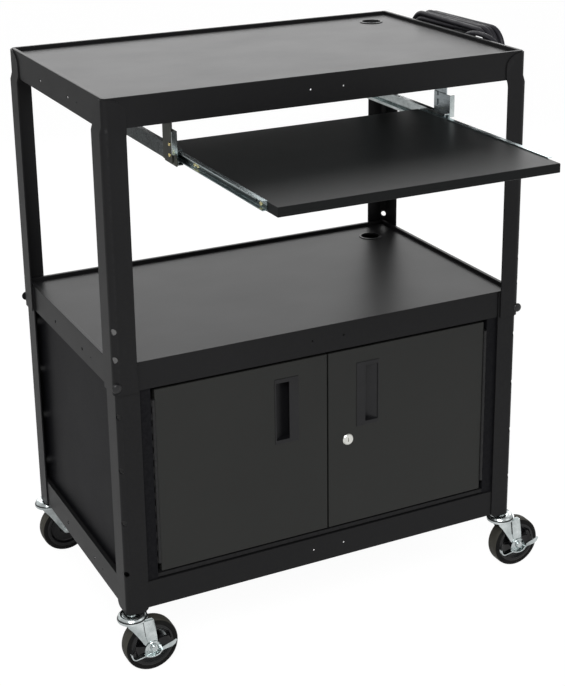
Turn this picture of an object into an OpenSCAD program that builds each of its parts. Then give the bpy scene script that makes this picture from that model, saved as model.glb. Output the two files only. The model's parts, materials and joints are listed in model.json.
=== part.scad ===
/* [Frame] */
// Width over the shelf skirts, 32 inches
shelf_w = 812.8; // [720:0.1:900]
// Depth over the shelf skirts
shelf_d = 504; // [460:1:560]
// Height of the top shelf's rim above the floor, at its highest setting
top_z = 1064; // [1040:1:1100]
// Height of the middle shelf's rim above the floor
middle_z = 603; // [590:1:620]
// Height of the bottom shelf's rim above the floor
bottom_z = 179; // [176:1:184]

/* [Shelf pans] */
// Height of a shelf's skirt, rim included
skirt_h = 52; // [46:1:56]
// Sheet thickness of the shelf pans
pan_t = 1.5; // [1.2:0.1:1.8]
// Width of the rolled rim round a deck
rim_w = 7; // [6:0.5:9]
// Depth of the deck below the rim
deck_drop = 6.5; // [5:0.5:9]
// Width of the turned-in hem under a skirt
hem_w = 8; // [6:0.5:10]
// Length of skirt at each corner that has no hem
hem_cut = 70; // [66:1:80]
// Corner radius of a shelf pan
pan_corner_r = 8; // [7.8:0.1:9]
// Radius of the accessory holes in the side skirts
side_hole_r = 3.2; // [2.5:0.1:4]
// Distance between the two accessory holes
side_hole_pitch = 152.4; // [140:0.1:160]
// Depth of the accessory holes below the rim
side_hole_drop = 31; // [28:0.5:34]
// Radius of the small pilot holes
pilot_r = 1.6; // [1.2:0.1:2]
// Distance from the middle of a side skirt to its pilot hole
side_pilot_y = 122; // [110:1:130]
// Half the distance between the two pilot holes in a front skirt
front_pilot_x = 32; // [28:1:36]
// Depth of the front pilot holes below the rim
front_pilot_drop = 25; // [22:0.5:28]

/* [Cable grommets] */
// Distance of a cable hole's centre from the side
grommet_from_side = 76; // [70:1:90]
// Distance of a cable hole's centre from the back
grommet_from_back = 74; // [70:1:90]
// Radius of the grommet's clear hole
grommet_bore_r = 19; // [16:0.5:20]
// Radius of the grommet's lip under the deck
grommet_lip_r = 26; // [25:0.5:28]
// Radius of the grommet's collar
grommet_flange_r = 23.5; // [22:0.5:24]
// Height of the grommet's collar above the deck
grommet_flange_t = 1.6; // [1.2:0.1:2]

/* [Legs] */
// Sheet thickness of the legs
leg_t = 2.4; // [2:0.1:2.8]
// Radius inside the leg's bend, on the shelf corner
bend_r = 7.6; // [7:0.1:7.7]
// Width of a lower leg's front flange, from the skirt's end
lower_flange_w = 40; // [36:0.5:44]
// Width of an upper leg's front flange, from the skirt's end
upper_flange_w = 36.5; // [34:0.5:42]
// Width of the ear at the top of an upper leg
ear_w = 39; // [38:0.5:46]
// Width of both legs' side flanges, from the skirt's end
side_flange_w = 46; // [42:0.5:50]
// Step that lets an upper leg pass outside a lower leg
joggle = 3.4; // [3.2:0.1:4]
// Height over which the leg steps outwards
joggle_h = 12; // [10:0.5:15]
// Height of the lower end of the upper legs
upper_leg_z = 550; // [545:1:556]
// Height of the lower end of the lower legs
lower_leg_z = 121; // [119:0.5:123]
// Radius of the rounded ends of the leg flanges
leg_end_r = 12; // [8:0.5:14]
// Radius of the adjusting holes in the leg bends
leg_hole_r = 5.4; // [5:0.1:5.8]
// Pitch of the adjusting holes in the upper legs, 2 inches
upper_hole_pitch = 50.8; // [48:0.1:52]
// Pitch of the adjusting holes in the lower legs, 4 inches
lower_hole_pitch = 101.6; // [99:0.1:104]
// Height of the leg bolts
bolt_z = 565; // [562:0.5:568]
// Distance from the leg bolt down to the first free hole
first_hole_drop = 56; // [50:0.5:60]
// Radius of a leg bolt's round head
bolt_head_r = 8.6; // [8:0.1:9.5]
// Height of a leg bolt's round head
bolt_head_h = 4.4; // [3.5:0.1:5]

/* [Cabinet] */
// Sheet thickness of the cabinet walls and doors
wall_t = 1.2; // [1:0.1:1.5]
// Inset of the side and back walls from the skirts
wall_inset = 12; // [11.5:0.5:16]
// Inset of the doors and jambs from the front skirt
face_inset = 3; // [2.5:0.5:4]
// Distance of a hinge pin from the cabinet's middle
hinge_x = 341; // [338:0.5:345]
// Depth of a jamb's return behind its face
jamb_depth = 26; // [24:0.5:30]
// Height of the sill above the bottom rim
sill_lift = 2.5; // [2:0.5:4]
// Height of the sill's face
sill_h = 7.5; // [6:0.5:9]
// Depth of the sill's shelf
sill_depth = 24; // [20:0.5:30]

/* [Doors] */
// Depth of a door pan
door_depth = 18; // [17:0.5:20]
// Gap between the two doors
door_gap = 3; // [2.5:0.5:4]
// Gap between the sill and the doors
door_low_gap = 3; // [2.5:0.5:5]
// Gap between the middle skirt and the doors
door_top_gap = 6; // [4:0.5:8]
// Width of the lip round the back of a door
door_lip_w = 8; // [6:0.5:9]

/* [Piano hinges] */
// Radius of the hinge knuckles
knuckle_r = 3; // [2.8:0.1:3.2]
// Length of one knuckle with its gap
knuckle_pitch = 12.7; // [12:0.1:16]
// Gap between neighbouring knuckles
knuckle_gap = 0.3; // [0.2:0.05:0.5]
// Radius of the hinge pin
pin_r = 1.2; // [1:0.1:1.5]
// Width of a hinge leaf
leaf_w = 19; // [16:0.5:20]

/* [Pulls] */
// Distance of a pull's centre from the cabinet's middle
pull_x = 84; // [78:0.5:92]
// Height of a pull's centre
pull_z = 452; // [440:1:464]
// Width of a pull's plate
pull_w = 48; // [44:0.5:52]
// Height of a pull's plate
pull_h = 128; // [120:1:136]
// Width of a pull's lip, on the side of the door gap
pull_lip_w = 19; // [16:0.5:21]
// Depth of a pull's pocket
pull_depth = 13; // [11:0.5:14]

/* [Lock] */
// Distance of the lock from the cabinet's middle
lock_x = 42; // [38:0.5:48]
// Height of the lock
lock_z = 366; // [350:1:375]
// Radius of the lock's face ring
lock_face_r = 11; // [10.5:0.1:12]
// Radius of the lock's turning plug
lock_plug_r = 6.5; // [6:0.1:7]
// Reach of the lock's cam from its axis
cam_reach = 54; // [52:0.5:60]

/* [Keyboard shelf] */
// Width of the keyboard board
board_w = 510; // [480:1:520]
// Depth of the keyboard board
board_d = 442; // [400:1:450]
// Thickness of the keyboard board
board_t = 16; // [15:0.5:19]
// Depth of the keyboard board's top below the top shelf's rim
board_drop = 116; // [112:1:124]
// How far the keyboard shelf pulls out
travel = 310; // [280:1:320]
// How far the board stays proud of the front skirt when closed
board_proud = 13; // [4:1:20]

/* [Ball slides] */
// Length of a slide rail
rail_l = 400; // [390:1:420]
// Height of a slide rail
rail_h = 27; // [26.5:0.5:29]
// Thickness of a whole slide
slide_t = 12.7; // [12.5:0.1:14]
// Sheet thickness of the slide sections
slide_sheet = 1.2; // [1:0.1:1.3]
// Radius of the slide balls
ball_r = 2.25; // [2.2:0.05:2.3]
// Pitch of the slide balls
ball_pitch = 12; // [11:0.5:14]
// Number of balls in a row
ball_count = 6; // [4:1:6]

/* [Slide hangers] */
// Thickness of the hanger plates
hanger_t = 2; // [1.6:0.1:2.4]
// Width of a hanger's upper plate
hanger_w = 40; // [36:1:44]
// Distance of the front hangers from the cart's middle
hanger_front_y = 186; // [176:1:194]
// Distance from a front hanger to its rear one
hanger_span = 280; // [260:1:300]
// Width of a hanger's lower plate
carrier_w = 52; // [48:1:56]
// Height of a hanger's lower plate
carrier_h = 62; // [58:1:68]

/* [Casters] */
// Radius of a wheel, 4 inch size
wheel_r = 50.8; // [48:0.1:51.5]
// Width of a wheel's tread
wheel_w = 30; // [28:0.5:31]
// Radius of a wheel's hub disc
hub_r = 41; // [38:0.5:42]
// Distance of the wheel's axle behind the swivel axis
trail = 32; // [28:0.5:36]
// Distance of a caster stem from the skirts
stem_inset = 9.9; // [9.7:0.1:10.5]
// Radius of a caster stem
stem_r = 5.5; // [5:0.1:5.6]
// Radius of a caster's ball race
race_r = 26.5; // [25:0.5:28]
// Radius of a wheel's axle bolt
axle_r = 5; // [4.5:0.1:5.2]
// Thickness of a caster's fork
fork_t = 2.5; // [2:0.1:3]

/* [Power outlet and cord] */
// Length of the outlet box
outlet_l = 110; // [100:1:112]
// Depth of the outlet box from the skirt
outlet_depth = 58; // [57:0.5:60]
// Height of the outlet box's cover
cover_h = 66; // [60:1:70]
// Length of the outlet box's cover
cover_l = 150; // [140:1:156]
// Diameter of the mains lead
cord_d = 9.6; // [9.6:0.1:9.6]

/* [Hidden] */
$fn = 64;

// Overrun of cuts past a face
over = 1;
// Running clearance on radius of pins, axles and the lock plug
run_gap = 0.05;
// Clearance between parts that move past each other
clear = 0.3;
half_w = shelf_w / 2;
half_d = shelf_d / 2;
// Corners as left-right and front-back signs
front_left = [-1, -1];
front_right = [1, -1];
back_left = [-1, 1];
back_right = [1, 1];
corners = [front_left, front_right, back_left, back_right];

black = [0.13, 0.13, 0.14];
door_black = [0.19, 0.19, 0.19];
zinc = [0.72, 0.75, 0.78];
brass = [0.80, 0.66, 0.32];
nickel = [0.82, 0.82, 0.78];
rubber = [0.20, 0.17, 0.15];
plastic = [0.07, 0.07, 0.08];
cord_colour = [0.11, 0.10, 0.13];

module flip_x(on) {
    if (on) mirror([1, 0, 0]) children();
    else children();
}

module flip_y(on) {
    if (on) mirror([0, 1, 0]) children();
    else children();
}

// Puts a shape, drawn inwards from the front left skirt corner, at another corner
module at_corner(corner) {
    translate([corner[0] * half_w, corner[1] * half_d, 0])
        flip_x(corner[0] > 0) flip_y(corner[1] > 0) children();
}

// Shelf pans
deck_x = half_w - rim_w;
deck_y = half_d - rim_w;
grommet_x = half_w - grommet_from_side;
grommet_y = half_d - grommet_from_back;

module rounded_block(w, d, h, r) {
    linear_extrude(h) union() {
        square([w - 2 * r, d], center = true);
        square([w, d - 2 * r], center = true);
        for (sx = [-1, 1], sy = [-1, 1])
            translate([sx * (w / 2 - r), sy * (d / 2 - r)]) circle(r);
    }
}

module block(w, d, h) {
    linear_extrude(h) square([w, d], center = true);
}

module hem_strips() {
    hem_y = half_d - pan_t - hem_w / 2;
    hem_x = half_w - pan_t - hem_w / 2;
    for (s = [-1, 1]) {
        translate([0, s * hem_y, 0]) block(shelf_w - 2 * hem_cut, hem_w, pan_t);
        translate([s * hem_x, 0, 0]) block(hem_w, shelf_d - 2 * hem_cut, pan_t);
    }
}

module skirt_holes() {
    side_z = skirt_h - side_hole_drop;
    for (s = [-1, 1]) {
        translate([-half_w - over, s * side_hole_pitch / 2, side_z])
            rotate([0, 90, 0]) cylinder(h = shelf_w + 2 * over, r = side_hole_r);
        translate([s * front_pilot_x, -half_d - over, skirt_h - front_pilot_drop])
            rotate([-90, 0, 0]) cylinder(h = pan_t + 2 * over, r = pilot_r);
        translate([s * (half_w - pan_t / 2), -side_pilot_y, side_z])
            rotate([0, 90, 0]) cylinder(h = pan_t + 2 * over, r = pilot_r, center = true);
    }
}

// A pressed steel shelf: skirt, hollow rolled rim and sunk deck
module shelf_pan(rim_z) {
    deck_z = skirt_h - deck_drop;
    translate([0, 0, rim_z - skirt_h]) {
        difference() {
            rounded_block(shelf_w, shelf_d, skirt_h, pan_corner_r);
            translate([0, 0, deck_z]) block(2 * deck_x, 2 * deck_y, deck_drop + over);
            translate([0, 0, -over])
                block(shelf_w - 2 * pan_t, shelf_d - 2 * pan_t, deck_z - pan_t + over);
            difference() {
                block(shelf_w - 2 * pan_t, shelf_d - 2 * pan_t, skirt_h - pan_t);
                block(2 * (deck_x + pan_t), 2 * (deck_y + pan_t), skirt_h);
            }
            skirt_holes();
            children();
        }
        hem_strips();
    }
}

module grommet_hole() {
    translate([grommet_x, grommet_y, skirt_h - deck_drop - pan_t - over])
        cylinder(h = pan_t + 2 * over, r = grommet_flange_r + run_gap);
}

module top_shelf() {
    color(black) shelf_pan(top_z) grommet_hole();
}

module middle_shelf() {
    color(black) shelf_pan(middle_z) grommet_hole();
}

module bottom_shelf() {
    color(black) shelf_pan(bottom_z);
}

grommet_neck_h = pan_t + 2;

module grommet(rim_z) {
    translate([grommet_x, grommet_y, rim_z - deck_drop]) difference() {
        union() {
            cylinder(h = grommet_flange_t / 2, r = grommet_flange_r);
            translate([0, 0, grommet_flange_t / 2])
                cylinder(h = grommet_flange_t / 2, r1 = grommet_flange_r,
                         r2 = grommet_flange_r - grommet_flange_t / 2);
            translate([0, 0, -pan_t]) cylinder(h = pan_t, r = grommet_flange_r);
            translate([0, 0, -grommet_neck_h])
                cylinder(h = grommet_neck_h - pan_t, r = grommet_lip_r);
        }
        translate([0, 0, -grommet_neck_h - over])
            cylinder(h = grommet_neck_h + grommet_flange_t + 2 * over, r = grommet_bore_r);
    }
}

module top_grommet() {
    color(plastic) grommet(top_z);
}

module middle_grommet() {
    color(plastic) grommet(middle_z);
}

// Legs, drawn inwards from the front left corner of the skirts
joggle_top = top_z - skirt_h + joggle_h / 2;
joggle_low = joggle_top - joggle_h;
upper_leg_top = top_z - deck_drop / 3;
shoulder_h = skirt_h / 2;
leg_far = side_flange_w + ear_w;

// Everything inside a bend that stands off the skirts by the given distance
module inside_bend(off, ex, ey) {
    translate([bend_r, -off]) square([ex - bend_r, ey + off]);
    translate([-off, bend_r]) square([ex + off, ey - bend_r]);
    translate([bend_r, bend_r]) circle(bend_r + off);
}

module angle_section(off, ex, ey) {
    difference() {
        inside_bend(off + leg_t, ex, ey);
        inside_bend(off, leg_far, leg_far);
    }
}

// The sloping length between the close and the stepped parts of an upper leg
module joggle_band() {
    slope = [[0, joggle_top], [-leg_t, joggle_top], [-leg_t - joggle, joggle_low],
             [-joggle, joggle_low]];
    translate([bend_r, 0, 0]) rotate([90, 0, 90])
        linear_extrude(ear_w - bend_r) polygon(slope);
    translate([0, side_flange_w, 0]) rotate([90, 0, 0])
        linear_extrude(side_flange_w - bend_r) polygon(slope);
    translate([bend_r, bend_r, 0]) rotate([0, 0, 180]) rotate_extrude(angle = 90)
        polygon([for (p = slope) [bend_r - p[0], p[1]]]);
}

// Outline of one flange of an upper leg: a round shoulder, an ear and a straight edge
function flange_outline(ear, edge) = concat(
    [[-leg_far, upper_leg_z], [-leg_far, upper_leg_top], [bend_r / 2, upper_leg_top]],
    [for (a = [15:15:90]) [
        bend_r / 2 + (ear - bend_r / 2) * sin(a),
        upper_leg_top - shoulder_h * (1 - cos(a))]],
    [[ear, joggle_top], [edge, joggle_low - joggle_h / 2], [edge, upper_leg_z]]);

module leg_holes(heights) {
    for (z = heights)
        translate([bend_r, bend_r, z]) rotate([0, 90, 225])
            cylinder(h = bend_r + joggle + 3 * leg_t, r = leg_hole_r);
}

module upper_leg(corner) {
    color(black) at_corner(corner) difference() {
        intersection() {
            union() {
                translate([0, 0, joggle_top])
                    linear_extrude(upper_leg_top - joggle_top)
                        angle_section(0, ear_w, side_flange_w);
                joggle_band();
                translate([0, 0, upper_leg_z]) linear_extrude(joggle_low - upper_leg_z)
                    angle_section(joggle, ear_w, side_flange_w);
            }
            translate([0, leg_far, 0]) rotate([90, 0, 0]) linear_extrude(2 * leg_far)
                polygon(flange_outline(ear_w, upper_flange_w));
            translate([-leg_far, 0, 0]) rotate([90, 0, 90]) linear_extrude(2 * leg_far)
                polygon(flange_outline(side_flange_w, side_flange_w));
        }
        leg_holes([for (i = [0:2]) bolt_z + i * upper_hole_pitch]);
    }
}

lower_leg_top = middle_z - deck_drop / 3;
lower_holes = concat([bolt_z], [for (i = [0:3]) bolt_z - first_hole_drop - i * lower_hole_pitch]);
socket_wall = 1.9;
socket_h = 35;
foot_t = 3;
foot_w = 24;

// Outline of one flange of a lower leg, with its free bottom corner rounded
function lower_outline(edge) = concat(
    [[-leg_far, lower_leg_z], [-leg_far, lower_leg_top], [edge, lower_leg_top]],
    [for (a = [0:15:90]) [
        edge - leg_end_r * (1 - cos(a)),
        lower_leg_z + leg_end_r * (1 - sin(a))]]);

module lower_leg(corner) {
    color(black) at_corner(corner) difference() {
        union() {
            difference() {
                intersection() {
                    translate([0, 0, lower_leg_z]) linear_extrude(lower_leg_top - lower_leg_z)
                        angle_section(0, lower_flange_w, side_flange_w);
                    translate([0, leg_far, 0]) rotate([90, 0, 0]) linear_extrude(2 * leg_far)
                        polygon(lower_outline(lower_flange_w));
                    translate([-leg_far, 0, 0]) rotate([90, 0, 90]) linear_extrude(2 * leg_far)
                        polygon(lower_outline(side_flange_w));
                }
                leg_holes(lower_holes);
            }
            translate([0, 0, lower_leg_z]) linear_extrude(foot_t)
                inside_bend(leg_t / 2, foot_w, foot_w);
            translate([stem_inset, stem_inset, lower_leg_z])
                cylinder(h = socket_h, r = stem_r + socket_wall);
        }
        translate([stem_inset, stem_inset, lower_leg_z - over])
            cylinder(h = socket_h + 2 * over, r = stem_r + run_gap);
    }
}

// Leg bolts: round heads shaped to the bend, shanks ending inside the upper legs
module leg_bolt() {
    seat = bend_r + joggle + leg_t;
    difference() {
        union() {
            translate([seat - leg_t, 0, 0]) rotate([0, 90, 0])
                cylinder(h = leg_t, r = leg_hole_r);
            translate([seat - bolt_head_h / 2, 0, 0]) rotate([0, 90, 0])
                cylinder(h = bolt_head_h / 2 + bolt_head_h / 4, r = bolt_head_r);
            translate([seat + bolt_head_h / 4, 0, 0]) rotate([0, 90, 0])
                cylinder(h = bolt_head_h * 0.45, r1 = bolt_head_r, r2 = bolt_head_r * 0.72);
            translate([seat + bolt_head_h * 0.7, 0, 0]) rotate([0, 90, 0])
                cylinder(h = bolt_head_h * 0.3, r1 = bolt_head_r * 0.72, r2 = bolt_head_r * 0.3);
        }
        difference() {
            cylinder(h = 4 * bolt_head_r, r = seat, center = true);
            rotate([0, 90, 0]) cylinder(h = 2 * seat, r = leg_hole_r);
        }
    }
}

module leg_bolts() {
    color(plastic) for (corner = corners)
        at_corner(corner) translate([bend_r, bend_r, bolt_z]) rotate([0, 0, 225]) leg_bolt();
}

// Cabinet
face_y = -half_d + face_inset;
deck_top = bottom_z - deck_drop;
roof_z = middle_z - deck_drop - pan_t;
wall_x = half_w - wall_inset;
wall_y = half_d - wall_inset;
jamb_gap = 4;
jamb_x = hinge_x + jamb_gap;
sill_z = bottom_z + sill_lift;
door_low = sill_z + sill_h + door_low_gap;
door_top = middle_z - skirt_h - door_top_gap;

// A folded side: wall, jamb behind the front leg and a return for the hinge
module cabinet_side(right) {
    color(black) flip_x(right) {
        translate([-wall_x, 0, 0]) rotate([90, 0, 90]) linear_extrude(wall_t)
            polygon([[wall_y, deck_top], [wall_y, roof_z], [face_y, roof_z],
                     [face_y, bottom_z], [-deck_y, bottom_z], [-deck_y, deck_top]]);
        translate([-wall_x, face_y, bottom_z])
            cube([wall_x - jamb_x, wall_t, roof_z - bottom_z]);
        translate([-jamb_x - wall_t, face_y, bottom_z])
            cube([wall_t, jamb_depth, middle_z - skirt_h - bottom_z]);
    }
}

module cabinet_back() {
    color(black) translate([-wall_x + wall_t, wall_y - wall_t, deck_top])
        cube([2 * (wall_x - wall_t), wall_t, roof_z - deck_top]);
}

module cabinet_sill() {
    color(black) {
        translate([-jamb_x, face_y, sill_z]) cube([2 * jamb_x, wall_t, sill_h]);
        translate([-jamb_x, face_y, sill_z + sill_h - wall_t])
            cube([2 * jamb_x, sill_depth, wall_t]);
    }
}

// Piano hinges, drawn about the left pin with the door towards +X
pin_y = face_y - clear;
knuckle_count = 2 * floor((door_top - door_low) / knuckle_pitch / 2) - 1;
hinge_l = knuckle_count * knuckle_pitch;
hinge_low = (door_top + door_low - hinge_l) / 2;
door_edge = knuckle_r + clear;

module hinge_leaf(first, plate_from) {
    plate_t = wall_t;
    web_from = min(plate_from, 0);
    web_to = max(plate_from + plate_t, pin_r / 2);
    difference() {
        union() {
            translate([plate_from, knuckle_r + clear, 0]) cube([plate_t, leaf_w, hinge_l]);
            for (i = [first:2:knuckle_count - 1]) translate([0, 0, i * knuckle_pitch]) {
                translate([0, 0, knuckle_gap / 2])
                    cylinder(h = knuckle_pitch - knuckle_gap, r = knuckle_r, $fn = 32);
                translate([web_from, 0, knuckle_gap / 2])
                    cube([web_to - web_from, knuckle_r + clear + plate_t,
                          knuckle_pitch - knuckle_gap]);
            }
        }
        translate([0, 0, -over]) cylinder(h = hinge_l + 2 * over, r = pin_r + run_gap, $fn = 32);
        if (plate_from > 0)
            translate([-knuckle_r, knuckle_r, -over])
                cube([knuckle_r + plate_from, knuckle_r, hinge_l + 2 * over]);
    }
}

module hinge_frame_leaf(right) {
    flip_x(right) translate([-hinge_x, pin_y, hinge_low]) {
        color(plastic) hinge_leaf(0, -jamb_gap);
        color(zinc) cylinder(h = hinge_l, r = pin_r, $fn = 32);
    }
}

module hinge_door_leaf(right) {
    color(plastic) flip_x(right) translate([-hinge_x, pin_y, hinge_low])
        hinge_leaf(1, door_edge - wall_t);
}

// Doors: pressed pans with a lip round the back
door_from = -hinge_x + door_edge;
door_to = -door_gap / 2;
door_w = door_to - door_from;
door_h = door_top - door_low;
pull_fit_w = pull_w - 6;
pull_fit_h = pull_h - 8;

module door_pan(right) {
    difference() {
        translate([door_from, face_y, door_low]) cube([door_w, door_depth, door_h]);
        translate([door_from + wall_t, face_y + wall_t, door_low + wall_t])
            cube([door_w - 2 * wall_t, door_depth - 2 * wall_t, door_h - 2 * wall_t]);
        translate([door_from + door_lip_w, face_y + wall_t, door_low + door_lip_w])
            cube([door_w - 2 * door_lip_w, door_depth, door_h - 2 * door_lip_w]);
        translate([-pull_x - pull_fit_w / 2, face_y - over, pull_z - pull_fit_h / 2])
            cube([pull_fit_w, wall_t + 2 * over, pull_fit_h]);
        if (right)
            translate([-lock_x, face_y - over, lock_z]) rotate([-90, 0, 0])
                cylinder(h = wall_t + 2 * over, r = lock_body_r);
    }
}

module door_left() {
    color(door_black) door_pan(false);
}

module door_right() {
    color(door_black) mirror([1, 0, 0]) door_pan(true);
}

// Flush pulls: a plate with a pocket that slopes in and runs under a lip
pull_plate_t = 1.2;
pull_wall = 1.6;
pull_margin = 8;

module pull_cup() {
    inner_h = pull_h - 2 * pull_margin;
    lip_from = pull_w - pull_lip_w;
    body_from = (pull_w - pull_fit_w) / 2;
    pocket_to = pull_w - body_from - pull_wall;
    slope_to = lip_from - pull_margin;
    translate([-pull_x - pull_w / 2, face_y, pull_z]) difference() {
        union() {
            translate([0, -pull_plate_t, -pull_h / 2]) cube([pull_w, pull_plate_t, pull_h]);
            translate([body_from, 0, -pull_fit_h / 2])
                cube([pull_fit_w, pull_depth + pull_wall, pull_fit_h]);
        }
        translate([0, 0, -inner_h / 2]) linear_extrude(inner_h)
            polygon([[body_from, -pull_plate_t - over], [lip_from, -pull_plate_t - over],
                     [lip_from, pull_wall], [pocket_to, pull_wall], [pocket_to, pull_depth],
                     [slope_to, pull_depth], [body_from, pull_wall / 2]]);
    }
}

module pull_left() {
    color(plastic) pull_cup();
}

module pull_right() {
    color(plastic) mirror([1, 0, 0]) pull_cup();
}

// Cam lock in the right door
lock_body_r = lock_face_r - 2;
lock_proud = 3;
lock_back = door_depth + 0.5;
cam_t = 2.5;
cam_w = 15;
key_w = 1.6;

module lock_barrel() {
    color(nickel) translate([lock_x, face_y, lock_z]) rotate([-90, 0, 0]) difference() {
        union() {
            translate([0, 0, -lock_proud])
                cylinder(h = lock_proud / 2, r1 = lock_face_r - lock_proud / 2, r2 = lock_face_r);
            translate([0, 0, -lock_proud / 2]) cylinder(h = lock_proud / 2, r = lock_face_r);
            cylinder(h = lock_back, r = lock_body_r);
        }
        translate([0, 0, -lock_proud - over])
            cylinder(h = lock_proud + lock_back + 2 * over, r = lock_plug_r + run_gap);
    }
}

module lock_plug() {
    plug_l = lock_proud + lock_back + clear;
    color(nickel) translate([lock_x, face_y, lock_z]) rotate([-90, 0, 0]) {
        difference() {
            translate([0, 0, -lock_proud]) cylinder(h = plug_l, r = lock_plug_r);
            translate([-key_w / 2, -lock_plug_r * 0.6, -lock_proud - over])
                cube([key_w, lock_plug_r * 1.2, lock_proud + over]);
        }
        translate([0, 0, lock_back + clear]) linear_extrude(cam_t) difference() {
            union() {
                circle(cam_w / 2);
                translate([-cam_w / 2, 0]) square([cam_w, cam_reach - cam_w / 2]);
                translate([0, cam_reach - cam_w / 2]) circle(cam_w / 2);
            }
            circle(key_w);
        }
    }
}

// Keyboard shelf, shown pulled out
board_z = top_z - board_drop;
board_front = -half_d - board_proud - travel;
board_back = board_front + board_d;
runner_edge = 35;
edge_r = 2;

module keyboard_board() {
    color(plastic) translate([-board_w / 2, 0, 0]) rotate([90, 0, 90])
        linear_extrude(board_w) union() {
            translate([board_front + edge_r, board_z - board_t])
                square([board_d - edge_r, board_t]);
            translate([board_front, board_z - board_t + edge_r])
                square([board_d, board_t - 2 * edge_r]);
            for (z = [board_z - board_t + edge_r, board_z - edge_r])
                translate([board_front + edge_r, z]) circle(edge_r);
        }
}

// Ball slides, drawn for the left side: the rail opens towards the board at +X
slide_x = board_w / 2 + slide_t;
slide_z = board_z - board_t / 2 + rail_h / 14;
rail_front = board_front + runner_edge + travel + rail_h / 3;
runner_front = board_front + runner_edge;
race_z = rail_h / 2 - slide_sheet - ball_r - run_gap;
ball_x = slide_t / 2;
runner_z = race_z - ball_r - run_gap;
rail_lip_x = ball_x + ball_r + run_gap;

module at_slide(right) {
    flip_x(right) translate([-slide_x, 0, slide_z]) children();
}

// Sections are drawn in X and Z and run along Y
module along_y(from, length) {
    translate([0, from + length, 0]) rotate([90, 0, 0]) linear_extrude(length) children();
}

module rail_section() {
    h = rail_h / 2;
    square_lip = rail_lip_x + slide_sheet;
    translate([0, -h]) square([slide_sheet, rail_h]);
    for (s = [0, 1]) mirror([0, s]) {
        translate([0, h - slide_sheet]) square([square_lip, slide_sheet]);
        translate([rail_lip_x, race_z - ball_r / 2])
            square([slide_sheet, h - race_z + ball_r / 2]);
    }
}

module runner_section() {
    difference() {
        translate([ball_x - ball_r, -runner_z])
            square([slide_t - ball_x + ball_r, 2 * runner_z]);
        translate([ball_x - ball_r - over, -runner_z + slide_sheet])
            square([slide_t - ball_x + ball_r + over - slide_sheet, 2 * (runner_z - slide_sheet)]);
    }
}

stop_l = 14;
runner_hole_r = 2.4;
// Places of the runner screws from the runner's front end, as shares of its length
screw_shares = [0.05, 0.65, 0.68];

module slide_rail(right) {
    color(zinc) at_slide(right) difference() {
        union() {
            along_y(rail_front, rail_l) rail_section();
            along_y(rail_front + rail_l - stop_l, stop_l)
                translate([slide_sheet, -rail_h / 6]) square([ball_r, rail_h / 3]);
        }
        for (i = [0, 1])
            translate([-over, hanger_y(i) + hanger_hole_y(0), 0]) rotate([0, 90, 0])
                cylinder(h = slide_sheet + 2 * over, r = runner_hole_r);
    }
}

module slide_runner(right) {
    color(zinc) at_slide(right) difference() {
        along_y(runner_front, rail_l) runner_section();
        for (s = screw_shares)
            translate([slide_t - slide_sheet - over, runner_front + s * rail_l, screw_z])
                rotate([0, 90, 0]) cylinder(h = slide_sheet + 2 * over, r = runner_hole_r);
        translate([slide_t - slide_sheet - over, runner_front + runner_edge, 0])
            rotate([0, 90, 0]) cylinder(h = slide_sheet + 2 * over, r = runner_hole_r);
    }
}

screw_z = board_z - board_t / 2 - slide_z;
screw_head_r = 3.6;
screw_head_h = 1.8;

module pan_screw(head_x, shank_l) {
    translate([head_x - screw_head_h, 0, 0]) rotate([0, 90, 0]) {
        cylinder(h = screw_head_h / 2, r1 = screw_head_r * 0.7, r2 = screw_head_r);
        translate([0, 0, screw_head_h / 2]) cylinder(h = screw_head_h / 2, r = screw_head_r);
        translate([0, 0, screw_head_h]) cylinder(h = shank_l, r = runner_hole_r - run_gap);
    }
}

module runner_screws() {
    color(brass) for (side = [false, true]) at_slide(side) for (s = screw_shares)
        translate([0, runner_front + s * rail_l, screw_z])
            pan_screw(slide_t - slide_sheet, slide_sheet);
}

// Ball cages travel half as far as the runners
cage_t = 0.8;
cage_edge = 8;
cage_l = (ball_count - 1) * ball_pitch + 2 * cage_edge;
cage_front = rail_front + cage_edge;
cage_web_x = (ball_x - ball_r + slide_sheet - cage_t) / 2;
cage_wing = ball_x + ball_r - cage_web_x - run_gap;

module cage_section() {
    translate([cage_web_x, -race_z - cage_t / 2]) square([cage_t, 2 * race_z + cage_t]);
    for (s = [-1, 1])
        translate([cage_web_x, s * race_z - cage_t / 2]) square([cage_wing, cage_t]);
}

module at_balls() {
    for (s = [-1, 1], i = [0:ball_count - 1])
        translate([ball_x, cage_front + cage_edge + i * ball_pitch, s * race_z]) children();
}

module ball_cages() {
    color(zinc) for (side = [false, true]) at_slide(side) difference() {
        along_y(cage_front, cage_l) cage_section();
        at_balls() cylinder(h = 2 * cage_t, r = ball_r + run_gap, center = true, $fn = 24);
    }
}

module slide_balls() {
    color(nickel) for (side = [false, true]) at_slide(side) at_balls() sphere(ball_r, $fn = 24);
}

// Hangers under the top shelf: an upper plate outside and a carrier next to the rail
function hanger_y(i) = -hanger_front_y + i * hanger_span;
function hanger_hole_y(side_share) = -hanger_w / 4 + side_share * hanger_w;
hanger_low = slide_z - rail_h / 2 + hanger_t;
hanger_top = top_z - deck_drop - pan_t;
hanger_foot = 18;
carrier_low = slide_z - rail_h / 2 - hanger_t;
carrier_fin = 8;
fin_h = 40;
slot_w = 5;
slot_h = 12;

module hanger_holes() {
    for (z = [0, rail_h * 0.7])
        translate([-2 * hanger_t - over, hanger_hole_y(0), z]) rotate([0, 90, 0])
            cylinder(h = 2 * hanger_t + 2 * over, r = runner_hole_r);
}

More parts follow.
